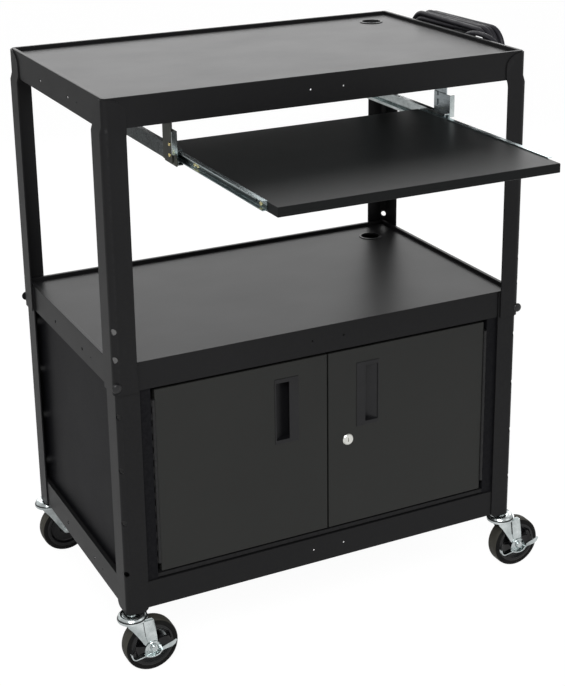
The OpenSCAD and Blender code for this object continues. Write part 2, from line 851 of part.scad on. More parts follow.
module slide_hangers() {
    color(zinc) for (side = [false, true], i = [0, 1])
        flip_x(side) translate([-slide_x, hanger_y(i), slide_z]) difference() {
            union() {
                translate([-2 * hanger_t, -hanger_w / 2, hanger_low - slide_z])
                    cube([hanger_t, hanger_w, hanger_top - hanger_low]);
                translate([-2 * hanger_t, -hanger_w / 2, hanger_top - slide_z - hanger_t])
                    cube([hanger_foot, hanger_w, hanger_t]);
            }
            hanger_holes();
        }
}

module slide_carriers() {
    color(zinc) for (side = [false, true], i = [0, 1])
        flip_x(side) translate([-slide_x, hanger_y(i) - hanger_w / 5, slide_z]) difference() {
            union() {
                translate([-hanger_t, -carrier_w / 2, carrier_low - slide_z])
                    cube([hanger_t, carrier_w, carrier_h]);
                translate([-hanger_t - carrier_fin, -carrier_w / 2 - hanger_t,
                           carrier_low - slide_z + carrier_h - fin_h])
                    cube([carrier_fin + hanger_t, hanger_t, fin_h]);
            }
            translate([0, hanger_w / 5, 0]) hanger_holes();
            for (z = [0.45, 0.75])
                translate([-hanger_t - over, carrier_w / 4, z * carrier_h])
                    translate([0, -slot_w / 2, -slot_h / 2])
                        cube([hanger_t + 2 * over, slot_w, slot_h]);
        }
}

// Casters, drawn about the swivel axis with the wheel trailing towards +X
race_low = wheel_r * 2 + 3.9;
race_gap_z = race_low + 6.5;
race_top = race_gap_z + 5.5;
crown_t = 2.5;
crown_r = 24;
rivet_h = 4;
axle_z = wheel_r;
fork_gap = 17.5;
fork_out = fork_gap + fork_t;
nut_h = 6;
nut_r = 7.5;
stem_top = lower_leg_z + socket_h + 3;
lever_t = 2.5;
front_nut_y = fork_out + clear + lever_t + clear;

module at_caster(corner) {
    translate([corner[0] * (half_w - stem_inset), corner[1] * (half_d - stem_inset), 0])
        children();
}

module caster_stems() {
    color(zinc) for (corner = corners) at_caster(corner) rotate_extrude() polygon([
        [0, race_low - crown_t - clear - rivet_h],
        [stem_r * 1.5, race_low - crown_t - clear - rivet_h],
        [stem_r * 1.5, race_low - crown_t - clear], [stem_r, race_low - crown_t - clear],
        [stem_r, race_gap_z + clear], [race_r - 1.5, race_gap_z + clear],
        [race_r - 1, race_gap_z + 2], [race_r - 3, race_top - 1], [race_r - 5, race_top],
        [race_r * 0.5, race_top - 2.5], [stem_r * 1.7, race_top - 2.5],
        [stem_r * 1.7, lower_leg_z], [stem_r, lower_leg_z], [stem_r, stem_top - 2],
        [stem_r - 2, stem_top], [0, stem_top]]);
}

// Fork leg outline in X and Z: wide under the crown, swept back to a round end at the axle
module fork_leg_outline() {
    eye_r = 11;
    hull() {
        translate([trail, axle_z]) circle(eye_r, $fn = 32);
        translate([trail * 0.2, race_low - crown_t * 2]) square([trail * 0.75, crown_t * 2]);
    }
    hull() {
        translate([-crown_r * 0.6, race_low - crown_t * 2]) square([crown_r, crown_t * 2]);
        translate([trail - 2, axle_z + 2]) circle(eye_r - 3, $fn = 32);
    }
}

module fork_shell() {
    difference() {
        union() {
            translate([0, 0, race_low - crown_t]) cylinder(h = crown_t, r = crown_r);
            rotate_extrude() polygon([
                [0, race_low], [crown_r, race_low - 1], [race_r, race_low + 2],
                [race_r, race_gap_z - 2], [race_r - 2, race_gap_z], [0, race_gap_z]]);
            for (s = [-1, 1])
                translate([0, s > 0 ? fork_out : -fork_gap, 0]) rotate([90, 0, 0])
                    linear_extrude(fork_t) fork_leg_outline();
            translate([-crown_r * 0.5, -fork_out, race_low - crown_t])
                cube([crown_r * 0.5 + trail * 0.95, 2 * fork_out, crown_t]);
        }
        translate([0, 0, race_low - 2 * crown_t])
            cylinder(h = 4 * race_top, r = stem_r + run_gap);
        translate([trail, 0, axle_z]) rotate([90, 0, 0])
            cylinder(h = 4 * fork_out, r = axle_r, center = true);
    }
}

// The axle bolt with its head and nut, which also carries a front caster's brake lever
module axle_bolt(front) {
    near = front ? front_nut_y : fork_out;
    translate([trail, 0, axle_z]) rotate([90, 0, 0]) {
        translate([0, 0, -fork_out]) cylinder(h = fork_out + near, r = axle_r);
        translate([0, 0, near]) cylinder(h = nut_h, r = nut_r, $fn = 6);
        translate([0, 0, -fork_out - nut_h / 2]) cylinder(h = nut_h / 2, r = nut_r);
    }
}

module caster_fork(corner) {
    color(zinc) at_caster(corner) {
        fork_shell();
        axle_bolt(corner[1] < 0);
    }
}

// Wheel profiles, in radius and half width
module wheel_at(corner) {
    at_caster(corner) translate([trail, 0, axle_z]) rotate([90, 0, 0]) rotate_extrude()
        children();
}

module tyre(corner) {
    h = wheel_w / 2;
    color(rubber) wheel_at(corner) polygon([
        [hub_r, -h * 0.8], [hub_r + 2, -h * 0.93], [wheel_r - 5, -h], [wheel_r - 3, -h * 0.93],
        [wheel_r - 1, -h * 0.67], [wheel_r, -h * 0.3], [wheel_r, h * 0.3],
        [wheel_r - 1, h * 0.67], [wheel_r - 3, h * 0.93], [wheel_r - 5, h],
        [hub_r + 2, h * 0.93], [hub_r, h * 0.8]]);
}

boss_r = 12;

module wheel_hub(corner) {
    h = wheel_w / 2;
    b = fork_gap - clear;
    bore = axle_r + run_gap;
    color(plastic) wheel_at(corner) polygon([
        [bore, -b], [boss_r, -b], [boss_r + 2, -h * 0.5], [hub_r * 0.62, -h * 0.3],
        [hub_r * 0.86, -h * 0.45], [hub_r, -h * 0.8], [hub_r, h * 0.8], [hub_r * 0.86, h * 0.45],
        [hub_r * 0.62, h * 0.3], [boss_r + 2, h * 0.5], [boss_r, b], [bore, b]]);
}

// Brake rocker on the axle: a bent strip with a foot tab at each end
lever_reach = 42;
lever_w = 12;
lever_hub_r = 12.5;
// Top line of the strip about the axle, as shares of its reach
lever_share = [[-1.08, 0.02], [-0.92, -0.26], [-0.5, -0.18], [-0.2, -0.27], [0.14, -0.27],
               [0.26, -0.06], [0.62, 0], [0.92, 0.12]];

module brake_lever(corner) {
    n = len(lever_share);
    color(zinc) at_caster(corner) translate([trail, -fork_out - clear, axle_z]) difference() {
        rotate([90, 0, 0]) {
            linear_extrude(lever_t) circle(lever_hub_r);
            linear_extrude(lever_w) polygon(concat(
                [for (p = lever_share) p * lever_reach],
                [for (i = [n - 1:-1:0]) lever_share[i] * lever_reach - [0, lever_t]]));
        }
        rotate([90, 0, 0]) cylinder(h = 4 * lever_w, r = axle_r + run_gap, center = true);
    }
}

// Outlet box on the right skirt; the cord is wound on it behind its cover
outlet_x = half_w;
outlet_y = 15;
hank_pitch = 10.4;
hank_fold_r = 28.8;
hank_turn = 1.5;
hank_run = 200;
hank_mid_y = 30;
hank_out_r = hank_fold_r + hank_turn * hank_pitch;
hank_z = top_z + 20 - cord_d / 2 - hank_out_r;
lead_off = 8.1;
layer_off = 18.6;
layer_step = 10.4;
outlet_low = hank_z - hank_fold_r + cord_d / 2 + 2 * clear;
outlet_top = hank_z + hank_fold_r - cord_d / 2 - 2 * clear;
cover_t = 2;
relief_l = 22;
relief_drop = 16;

box_t = 1.6;

module outlet_housing() {
    box_h = outlet_top - outlet_low;
    color(black) translate([outlet_x, outlet_y, outlet_low]) difference() {
        cube([outlet_depth - cover_t, outlet_l, box_h]);
        translate([box_t, box_t, box_t])
            cube([outlet_depth, outlet_l - 2 * box_t, box_h - 2 * box_t]);
    }
}

// Three earthed outlets in the cover, each with two slots and a round hole
module outlet_cover() {
    face_r = 15;
    cover_mid = outlet_y + outlet_l / 2;
    cover_x = outlet_x + outlet_depth - cover_t;
    color(plastic) difference() {
        union() {
            translate([cover_x, cover_mid - cover_l / 2, hank_z - cover_h / 2])
                cube([cover_t, cover_l, cover_h]);
            for (i = [-1:1]) translate([cover_x, cover_mid + i * outlet_l / 3, hank_z])
                rotate([0, 90, 0]) cylinder(h = 1.5 * cover_t, r = face_r);
        }
        for (i = [-1:1]) translate([cover_x + cover_t, cover_mid + i * outlet_l / 3, hank_z]) {
            for (s = [-1, 1]) translate([-over, s * 6.35 - 1.2, -2]) cube([4 * over, 2.4, 8]);
            translate([-over, 0, -8]) rotate([0, 90, 0]) cylinder(h = 4 * over, r = 2.6);
        }
    }
}

module strain_relief() {
    color(plastic) translate([outlet_x + lead_off, outlet_y, top_z - relief_drop]) rotate([90, 0, 0]) {
        cylinder(h = 4, r = 7.5);
        translate([0, 0, 4]) cylinder(h = relief_l - 4, r1 = 6.6, r2 = 5.6);
    }
}

// Free stretches of the cord, out from the right skirt and up from the top rim
lead_points = [
    [8.1, -7, -16], [8.1, -18, -16], [8.1, -28, -14], [8.1, -38, -10],
    [8.1, -48, -5], [8.1, -58, -1], [8.1, -70, 2], [8.1, -84, 3.5],
    [8.1, -100, 3.5], [8.1, -116, 3], [8.6, -132, 0], [9.6, -146, -8],
    [10.6, -156, -20], [12.1, -160, -34], [13.6, -157, -49], [15.6, -147, -62],
    [17.1, -133, -70], [18.1, -118, -73], [18.6, -102, -73.5], [18.6, -90, -73.6],
    [18.6, -79.6, -73.6]];
tail_points = [
    [49.8, 139.6, -73.6], [49.8, 145, -73.6], [49.8, 152.5, -75], [49.8, 160, -78.5],
    [49.8, 168, -84.5], [49.8, 174.5, -92], [49.8, 181, -99.7]];

function unit(v) = v / norm(v);

// Smooth curve through the points, with a number of steps between neighbours
function spline_point(p, i, t) =
    let (n = len(p) - 1, a = p[max(i - 1, 0)], b = p[i], c = p[min(i + 1, n)],
         d = p[min(i + 2, n)])
    0.5 * ((2 * b) + (c - a) * t + (2 * a - 5 * b + 4 * c - d) * t * t
           + (3 * b - a - 3 * c + d) * t * t * t);
function smooth(p, steps) = concat(
    [for (i = [0:len(p) - 2], s = [0:steps - 1]) spline_point(p, i, s / steps)],
    [p[len(p) - 1]]);
function path_length(p) =
    len(p) < 2 ? 0 : [for (i = 1, s = norm(p[1] - p[0]); i < len(p);
        i = i + 1, s = i < len(p) ? s + norm(p[i] - p[i - 1]) : s) s][len(p) - 2];

// Tube along a path; every ring is square to the path and keeps X as its side direction
function ring(at, along, r, sides) =
    let (side = unit([1, 0, 0] - along * along[0]), up = cross(along, side))
    [for (k = [0:sides - 1])
        at + r * (cos(360 * k / sides) * side + sin(360 * k / sides) * up)];
module tube(path, r, sides) {
    n = len(path) - 1;
    rings = [for (i = [0:n]) each ring(path[i],
        unit(path[min(i + 1, n)] - path[max(i - 1, 0)]), r, sides)];
    sides_faces = [for (i = [0:n - 1], k = [0:sides - 1])
        let (a = i * sides + k, b = i * sides + (k + 1) % sides)
        each [[a, b + sides, b], [a, a + sides, b + sides]]];
    caps = [[for (k = [0:sides - 1]) k], [for (k = [sides - 1:-1:0]) n * sides + k]];
    polyhedron(rings, concat(sides_faces, caps));
}

module power_cord_lead() {
    color(cord_colour) translate([outlet_x, 0, top_z]) tube(lead_points, cord_d / 2, 8);
}

module power_cord_tail() {
    color(cord_colour) translate([outlet_x, 0, top_z]) tube(tail_points, cord_d / 2, 8);
}

// The hank: four layers of loops that spiral in, out, in and out, changing layer on a run
rings_per_loop = 24;
run_rings = 4;
fold_rings = rings_per_loop / 2 - run_rings;
run_turn = run_rings / rings_per_loop;
hank_loops = 4 * hank_turn + run_turn;
hank_rings = round(hank_loops * rings_per_loop);
// Turns at which each change of layer starts
climbs = [hank_turn, 2 * hank_turn, 3 * hank_turn];

function ramp(t, from, to) = min(max((t - from) / (to - from), 0), 1);
// How many steps a strand has spiralled inwards after t turns
function inward(t) =
    t <= climbs[0] ? t
    : t <= climbs[1] ? hank_turn - max(t - climbs[0] - run_turn, 0)
    : t <= climbs[2] ? run_turn + max(t - climbs[1] - run_turn, 0)
    : hank_turn - max(t - climbs[2] - run_turn, 0);
function hank_layer(t) = ramp(t, climbs[0], climbs[0] + run_turn)
    + ramp(t, climbs[1], climbs[1] + run_turn) + ramp(t, climbs[2], climbs[2] + run_turn);
// Place on the loop's outline: a run, a fold, the other run and the other fold
function loop_point(k, r) =
    let (half = hank_run / 2, q = k % rings_per_loop)
    q <= run_rings ? [-half + hank_run * q / run_rings, -r]
    : q <= run_rings + fold_rings
        ? let (a = -90 + 180 * (q - run_rings) / fold_rings) [half + r * cos(a), r * sin(a)]
    : q <= 2 * run_rings + fold_rings
        ? [half - hank_run * (q - run_rings - fold_rings) / run_rings, r]
    : let (a = 90 + 180 * (q - 2 * run_rings - fold_rings) / fold_rings)
        [-half + r * cos(a), r * sin(a)];
function hank_point(k) =
    let (t = k / rings_per_loop, p = loop_point(k, hank_out_r - hank_pitch * inward(t)))
    [outlet_x + layer_off + layer_step * hank_layer(t), hank_mid_y + p[0], hank_z + p[1]];
// The ends run straight for one diameter
hank_path = concat(
    [hank_point(0) - [0, cord_d, 0]],
    [for (k = [0:hank_rings]) hank_point(k)],
    [hank_point(hank_rings) + [0, cord_d, 0]]);

// Least gap of the hank to itself, on the middle line between rings half a loop apart
hank_probe = [for (k = [0:0.5:hank_rings]) hank_point(k)];
probe_skip = rings_per_loop;
hank_gap = min([for (i = [0:len(hank_probe) - 1 - probe_skip])
    min([for (j = [i + probe_skip:len(hank_probe) - 1]) norm(hank_probe[i] - hank_probe[j])])])
    - cord_d;
echo(hank_least_gap_mm = hank_gap);
echo(cord_lengths_mm = [path_length(smooth(lead_points, 4)), path_length(hank_path),
                        path_length(smooth(tail_points, 4))]);

module power_cord_hank() {
    color(cord_colour) tube(hank_path, cord_d / 2, 6);
}

// Earthed plug, square to the end of the tail
plug_turn = atan2(7.7, 6.5);

module power_plug() {
    end = tail_points[len(tail_points) - 1];
    translate(end + [outlet_x, 0, top_z]) rotate([-90 - plug_turn, 0, 0]) {
        color(plastic) {
            cylinder(h = 13, r1 = 6, r2 = 8);
            translate([0, 0, 13]) cylinder(h = 7, r1 = 9.5, r2 = 13);
            translate([0, 0, 20]) cylinder(h = 18, r = 13);
        }
        color(brass) translate([0, 0, 38]) {
            for (s = [-1, 1]) translate([-3.2, s * 6.35 - 0.75, 0]) cube([6.4, 1.5, 16]);
            translate([8, 0, 0]) cylinder(h = 18, r = 2.4);
        }
    }
}

bottom_shelf();
middle_shelf();
lower_leg(front_left);  // lower_leg_front_left
lower_leg(front_right);  // lower_leg_front_right
lower_leg(back_left);  // lower_leg_back_left
lower_leg(back_right);  // lower_leg_back_right
cabinet_side(false);  // cabinet_side_left
cabinet_side(true);  // cabinet_side_right
cabinet_back();
cabinet_sill();
hinge_frame_leaf(false);  // hinge_frame_leaf_left
hinge_frame_leaf(true);  // hinge_frame_leaf_right
middle_grommet();
caster_stems();
top_shelf();
upper_leg(front_left);  // upper_leg_front_left
upper_leg(front_right);  // upper_leg_front_right
upper_leg(back_left);  // upper_leg_back_left
upper_leg(back_right);  // upper_leg_back_right
leg_bolts();
top_grommet();
slide_hangers();
slide_carriers();
slide_rail(false);  // slide_rail_left
slide_rail(true);  // slide_rail_right
outlet_housing();
outlet_cover();
strain_relief();
power_cord_lead();
power_cord_hank();
power_cord_tail();
power_plug();
keyboard_board();
slide_runner(false);  // slide_runner_left
slide_runner(true);  // slide_runner_right
runner_screws();
ball_cages();
slide_balls();
door_left();
hinge_door_leaf(false);  // hinge_door_leaf_left
pull_left();
door_right();
hinge_door_leaf(true);  // hinge_door_leaf_right
pull_right();
lock_barrel();
lock_plug();
caster_fork(front_left);  // caster_fork_front_left
caster_fork(front_right);  // caster_fork_front_right
caster_fork(back_left);  // caster_fork_back_left
caster_fork(back_right);  // caster_fork_back_right
tyre(front_left);  // tyre_front_left
tyre(front_right);  // tyre_front_right
tyre(back_left);  // tyre_back_left
tyre(back_right);  // tyre_back_right
wheel_hub(front_left);  // wheel_hub_front_left
wheel_hub(front_right);  // wheel_hub_front_right
wheel_hub(back_left);  // wheel_hub_back_left
wheel_hub(back_right);  // wheel_hub_back_right
brake_lever(front_left);  // brake_lever_left
brake_lever(front_right);  // brake_lever_right
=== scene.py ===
"""Projector cart: materials, detailed pieces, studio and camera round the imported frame."""
import json
import math

import bmesh
import bpy
from mathutils import Matrix, Vector


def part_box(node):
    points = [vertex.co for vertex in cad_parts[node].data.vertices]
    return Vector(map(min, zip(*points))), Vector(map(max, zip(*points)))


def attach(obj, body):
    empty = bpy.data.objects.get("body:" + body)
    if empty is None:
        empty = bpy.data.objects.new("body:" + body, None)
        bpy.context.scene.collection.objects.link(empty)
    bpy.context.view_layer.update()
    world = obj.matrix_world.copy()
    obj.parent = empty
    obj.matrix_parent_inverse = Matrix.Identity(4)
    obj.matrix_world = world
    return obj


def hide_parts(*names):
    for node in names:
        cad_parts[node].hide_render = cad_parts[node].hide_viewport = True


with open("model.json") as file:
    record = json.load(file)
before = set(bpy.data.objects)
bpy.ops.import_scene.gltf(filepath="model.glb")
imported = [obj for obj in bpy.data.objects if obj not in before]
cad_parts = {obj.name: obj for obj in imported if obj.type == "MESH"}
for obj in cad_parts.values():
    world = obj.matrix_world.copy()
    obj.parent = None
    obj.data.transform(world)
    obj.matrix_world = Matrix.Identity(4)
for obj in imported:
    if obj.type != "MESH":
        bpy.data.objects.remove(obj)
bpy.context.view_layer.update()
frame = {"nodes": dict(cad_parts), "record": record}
NODES = frame["nodes"]
BODY_OF = {name: body for body, names in frame["record"]["behaviour"]["bodies"].items() for name in names}
SLOT_OF = {part["node"]: part["material_slot"] for part in frame["record"]["subparts"]}
MM = 0.001

# Materials and their shared node groups by name, filled by make_finishes
FINISHES, EFFECTS = {}, {}

# Main places of the cart, in millimetres
SHELF_W, SHELF_D = 812.8, 504.0
HALF_W, HALF_D = SHELF_W / 2, SHELF_D / 2
TOP_Z, MIDDLE_Z, BOTTOM_Z = 1064.0, 603.0, 179.0
CORNERS = {"front_left": (-1, -1), "front_right": (1, -1), "back_left": (-1, 1), "back_right": (1, 1)}
STEM_X, STEM_Y = HALF_W - 9.9, HALF_D - 9.9
TRAIL, WHEEL_R = 32.0, 50.8


# Camera

# Height, principal row and focal length in pixels of the photograph, which is 565 wide and 686 high
PICTURE_H, PRINCIPAL_ROW, FOCAL_LENGTH = 686, 235, 1495.2

# Sensor and place in millimetres, angles in degrees
SENSOR = 36
CAMERA_YAW, CAMERA_PITCH, CAMERA_ROLL = 26.16, 18.03, -0.77
CAMERA_PLACE = (-1178.8, -2470.0, 1591.9)


def studio_camera():
    """Camera at the photograph's angle."""
    yaw, pitch, roll = [math.radians(v) for v in (CAMERA_YAW, CAMERA_PITCH, CAMERA_ROLL)]
    ahead = Vector((math.sin(yaw) * math.cos(pitch), math.cos(yaw) * math.cos(pitch), -math.sin(pitch)))
    right = Vector((math.cos(yaw), -math.sin(yaw), 0))
    up = right.cross(ahead)
    side = right * math.cos(roll) + up * math.sin(roll)
    top = -right * math.sin(roll) + up * math.cos(roll)
    data = bpy.data.cameras.new("studio_camera")
    data.sensor_width = SENSOR
    data.lens = FOCAL_LENGTH * SENSOR / PICTURE_H
    data.shift_y = (PRINCIPAL_ROW - PICTURE_H / 2) / PICTURE_H
    data.clip_end = 50
    camera = add_object("studio_camera", data)
    turn = Matrix((side, top, -ahead)).transposed().to_4x4()
    camera.matrix_world = Matrix.Translation(Vector(CAMERA_PLACE) * MM) @ turn
    bpy.context.scene.camera = camera


# Shared tools

def add_object(name, data):
    piece = bpy.data.objects.new(name, data)
    bpy.context.scene.collection.objects.link(piece)
    return piece


def smooth_faces(mesh, angle):
    for face in mesh.polygons:
        face.use_smooth = True
    mesh.set_sharp_from_angle(angle=math.radians(angle))


def piece_from(name, bm, angle=35):
    """New object from a built mesh, smooth up to an angle in degrees."""
    mesh = bpy.data.meshes.new(name)
    bm.to_mesh(mesh)
    bm.free()
    smooth_faces(mesh, angle)
    weight_corners(mesh, angle)
    return add_object(name, mesh)


def weight_corners(mesh, angle):
    """Corner normals weighted by area, so that flat sheet stays flat beside its eased edges."""
    near = math.cos(math.radians(angle))
    around = [[] for _ in mesh.vertices]
    facts = [(face.normal.copy(), face.area) for face in mesh.polygons]
    for face in mesh.polygons:
        for corner in face.vertices:
            around[corner].append(facts[face.index])
    normals = []
    for face in mesh.polygons:
        own = facts[face.index][0]
        for corner in face.vertices:
            total = Vector()
            for normal, area in around[corner]:
                if normal.dot(own) > near:
                    total += normal * area
            normals.append(total.normalized() if total.length > 0 else own)
    mesh.normals_split_custom_set(normals)


def dress(piece, body, slot, key, *replaced):
    """Gives a piece its finish and body, and hides the nodes that it stands for; its slot is not used."""
    piece.data.materials.clear()
    piece.data.materials.append(FINISHES[key])
    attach(piece, body)
    if replaced:
        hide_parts(*replaced)
    return piece


def stand_in(piece, node, key):
    """Dresses a piece with the body of the CAD node that it replaces."""
    return dress(piece, BODY_OF[node], SLOT_OF[node], key, node)


def socket(group, name, kind, direction="INPUT", value=None):
    made = group.interface.new_socket(name=name, in_out=direction, socket_type=kind)
    if value is not None:
        made.default_value = value
    return made


def add_nodes(tree, *kinds):
    """New nodes of the given kinds, in their order."""
    return [tree.nodes.new(kind) for kind in kinds]


def feed(tree, value, entry):
    """Gives a node's input a plain value or another node's output."""
    if isinstance(value, bpy.types.NodeSocket):
        tree.links.new(value, entry)
    else:
        entry.default_value = value


def wire(tree, *joins):
    """Links nodes, each join as node, output, node and input."""
    for source, output, target, entry in joins:
        tree.links.new(source.outputs[output], target.inputs[entry])


def geometry_tree(name, inputs):
    """Geometry tree with its own inputs beside the geometry and the finish."""
    tree = bpy.data.node_groups.new(name, "GeometryNodeTree")
    socket(tree, "Geometry", "NodeSocketGeometry")
    for label, kind in inputs.items():
        socket(tree, label, "NodeSocket" + kind)
    socket(tree, "Finish", "NodeSocketMaterial")
    socket(tree, "Geometry", "NodeSocketGeometry", "OUTPUT")
    return tree, *add_nodes(tree, "NodeGroupInput", "NodeGroupOutput")


def finish_tree(tree, given, out, last, output):
    """Realizes the last node's geometry, paints it and sends it out."""
    real, paint = add_nodes(tree, "GeometryNodeRealizeInstances", "GeometryNodeSetMaterial")
    wire(tree, (last, output, real, "Geometry"), (real, "Geometry", paint, "Geometry"),
         (given, "Finish", paint, "Material"), (paint, "Geometry", out, "Geometry"))
    return tree


def tree_input(modifier, name, value):
    """Sets a modifier's input by its socket's identifier."""
    for item in modifier.node_group.interface.items_tree:
        if item.item_type == "SOCKET" and item.in_out == "INPUT" and item.name == name:
            modifier[item.identifier] = value
            return
    raise KeyError(name)


def bake_tree(source, tree, inputs, name):
    """Evaluates a geometry tree on an object and returns the result as a plain mesh object."""
    modifier = source.modifiers.new("build", "NODES")
    modifier.node_group = tree
    for key, value in inputs.items():
        tree_input(modifier, key, value)
    seen = source.evaluated_get(bpy.context.evaluated_depsgraph_get())
    mesh = bpy.data.meshes.new_from_object(seen)
    mesh.name = name
    source.modifiers.remove(modifier)
    bpy.data.objects.remove(source)
    return add_object(name, mesh)


def spots(bm, places, at=(0, 0, 0)):
    """Mesh points at places in millimetres about another place."""
    return [bm.verts.new((Vector(place) + Vector(at)) * MM) for place in places]


def lathe(bm, profile, at, axis=(0, 0, 1), steps=48, closed=True):
    """Turns a profile of (radius, height) pairs, in millimetres, about an axis at a place."""
    turn = Vector((0, 0, 1)).rotation_difference(Vector(axis)).to_matrix()
    angles = [2 * math.pi * k / steps for k in range(steps)]
    rings = []
    for radius, height in profile:
        if radius < 1e-6:
            places = [(0, 0, height)]
        else:
            places = [(radius * math.cos(a), radius * math.sin(a), height) for a in angles]
        rings.append(spots(bm, [turn @ Vector(place) for place in places], at))
    pairs = list(zip(rings, rings[1:]))
    if closed and len(rings[0]) > 1 and len(rings[-1]) > 1:
        pairs.append((rings[-1], rings[0]))
    for low, high in pairs:
        for k in range(steps):
            a, b = low[k % len(low)], low[(k + 1) % len(low)]
            c, d = high[(k + 1) % len(high)], high[k % len(high)]
            corners = [v for i, v in enumerate((a, b, c, d)) if v not in (a, b, c, d)[:i]]
            if len(corners) > 2:
                bm.faces.new(corners)
    return bm


def outward(bm):
    bmesh.ops.recalc_face_normals(bm, faces=bm.faces)
    return bm


# Points nearer than this many metres are one; faces turned by fewer degrees are one
WELD_GAP, FLAT_TURN = 0.000004, 0.6


def merged_copy(node):
    """A joined copy of a CAD node's mesh, its flat faces made whole."""
    bm = bmesh.new()
    bm.from_mesh(NODES[node].data)
    bmesh.ops.remove_doubles(bm, verts=bm.verts, dist=WELD_GAP)
    bmesh.ops.dissolve_limit(bm, angle_limit=math.radians(FLAT_TURN), verts=bm.verts, edges=bm.edges)
    return bm


def eased(bm, width, angle=38, choose=None, steps=2):
    """Rounds the sharp outer edges by a width in millimetres."""
    chosen = []
    for edge in bm.edges:
        if len(edge.link_faces) == 2 and edge.is_convex and edge.calc_face_angle(0) > math.radians(angle):
            if choose is None or choose(edge):
                chosen.append(edge)
    if chosen:
        bmesh.ops.bevel(bm, geom=chosen, offset=width * MM, offset_type="OFFSET", segments=steps,
                        profile=0.5, affect="EDGES", clamp_overlap=True)
    return bm


# Cord

# Sizes in millimetres; a hank turn has RINGS steps, RUN_RINGS of them on each straight run
CORD_D, CORD_SIDES = 9.6, 16
RINGS, RUN_RINGS = 24, 4
FOLD_RINGS = RINGS // 2 - RUN_RINGS
RUN_TURN = RUN_RINGS / RINGS
HANK_TURN, HANK_PITCH, HANK_RUN = 1.5, 10.4, 200.0
HANK_FOLD_R, HANK_RISE, HANK_MID_Y = 28.8, 20, 30.0
HANK_OUT_R = HANK_FOLD_R + HANK_TURN * HANK_PITCH
HANK_Z = TOP_Z + HANK_RISE - CORD_D / 2 - HANK_OUT_R
LAYER_OFF, LAYER_STEP = 18.6, 10.4
HANK_LOOPS = 4 * HANK_TURN + RUN_TURN
POINTS_PER_TURN, POINTS_PER_SPAN = 96, 4

# Points of the free cord, from the right skirt's face, the cart's middle and the top rim
LEAD_POINTS = [
    (8.1, -7, -16), (8.1, -18, -16), (8.1, -28, -14), (8.1, -38, -10), (8.1, -48, -5), (8.1, -58, -1),
    (8.1, -70, 2), (8.1, -84, 3.5), (8.1, -100, 3.5), (8.1, -116, 3), (8.6, -132, 0), (9.6, -146, -8),
    (10.6, -156, -20), (12.1, -160, -34), (13.6, -157, -49), (15.6, -147, -62), (17.1, -133, -70),
    (18.1, -118, -73), (18.6, -102, -73.5), (18.6, -90, -73.6), (18.6, -79.6, -73.6)]
TAIL_POINTS = [
    (49.8, 139.6, -73.6), (49.8, 145, -73.6), (49.8, 152.5, -75), (49.8, 160, -78.5), (49.8, 168, -84.5),
    (49.8, 174.5, -92), (49.8, 181, -99.7)]


def ramp(value, low):
    return min(max((value - low) / RUN_TURN, 0), 1)


def hank_place(turns):
    """Place on the hank after a number of turns: four layers that spiral in, out, in and out."""
    first, second, third = HANK_TURN, 2 * HANK_TURN, 3 * HANK_TURN
    if turns <= first:
        inward = turns
    elif turns <= second:
        inward = HANK_TURN - max(turns - first - RUN_TURN, 0)
    elif turns <= third:
        inward = RUN_TURN + max(turns - second - RUN_TURN, 0)
    else:
        inward = HANK_TURN - max(turns - third - RUN_TURN, 0)
    layer = ramp(turns, first) + ramp(turns, second) + ramp(turns, third)
    radius = HANK_OUT_R - HANK_PITCH * inward
    step = (turns * RINGS) % RINGS
    half = HANK_RUN / 2
    if step <= RUN_RINGS:
        y, z = -half + HANK_RUN * step / RUN_RINGS, -radius
    elif step <= RUN_RINGS + FOLD_RINGS:
        a = math.radians(-90 + 180 * (step - RUN_RINGS) / FOLD_RINGS)
        y, z = half + radius * math.cos(a), radius * math.sin(a)
    elif step <= 2 * RUN_RINGS + FOLD_RINGS:
        y, z = half - HANK_RUN * (step - RUN_RINGS - FOLD_RINGS) / RUN_RINGS, radius
    else:
        a = math.radians(90 + 180 * (step - 2 * RUN_RINGS - FOLD_RINGS) / FOLD_RINGS)
        y, z = -half + radius * math.cos(a), radius * math.sin(a)
    return Vector((HALF_W + LAYER_OFF + LAYER_STEP * layer, HANK_MID_Y + y, HANK_Z + z)) * MM


def curve_through(points, steps):
    """Smooth points between the given ones."""
    made = []
    last = len(points) - 1
    for i in range(last):
        a, b = points[max(i - 1, 0)], points[i]
        c, d = points[i + 1], points[min(i + 2, last)]
        for s in range(steps):
            t = s / steps
            made.append(0.5 * ((2 * b) + (c - a) * t + (2 * a - 5 * b + 4 * c - d) * t * t
                               + (3 * b - a - 3 * c + d) * t * t * t))
    return made + [points[last]]


def skirt_points(points):
    return [Vector((HALF_W + x, y, TOP_Z + z)) * MM for x, y, z in points]


def cord_route():
    lead, tail = [curve_through(skirt_points(v), POINTS_PER_SPAN) for v in (LEAD_POINTS, TAIL_POINTS)]
    count = int(HANK_LOOPS * POINTS_PER_TURN)
    return lead + [hank_place(k / POINTS_PER_TURN) for k in range(count + 1)] + tail


def tube_tree():
    """Geometry tree: sweeps a round section along a line."""
    tree, given, out = geometry_tree("swept_jacket", {"Radius": "Float", "Sides": "Int"})
    line, ring, sweep, smooth = add_nodes(
        tree, "GeometryNodeMeshToCurve", "GeometryNodeCurvePrimitiveCircle", "GeometryNodeCurveToMesh",
        "GeometryNodeSetShadeSmooth")
    sweep.inputs["Fill Caps"].default_value = True
    wire(tree, (given, "Geometry", line, "Mesh"), (given, "Radius", ring, "Radius"),
         (given, "Sides", ring, "Resolution"), (line, "Curve", sweep, "Curve"),
         (ring, "Curve", sweep, "Profile Curve"), (sweep, "Mesh", smooth, "Geometry"))
    return finish_tree(tree, given, out, smooth, "Geometry")


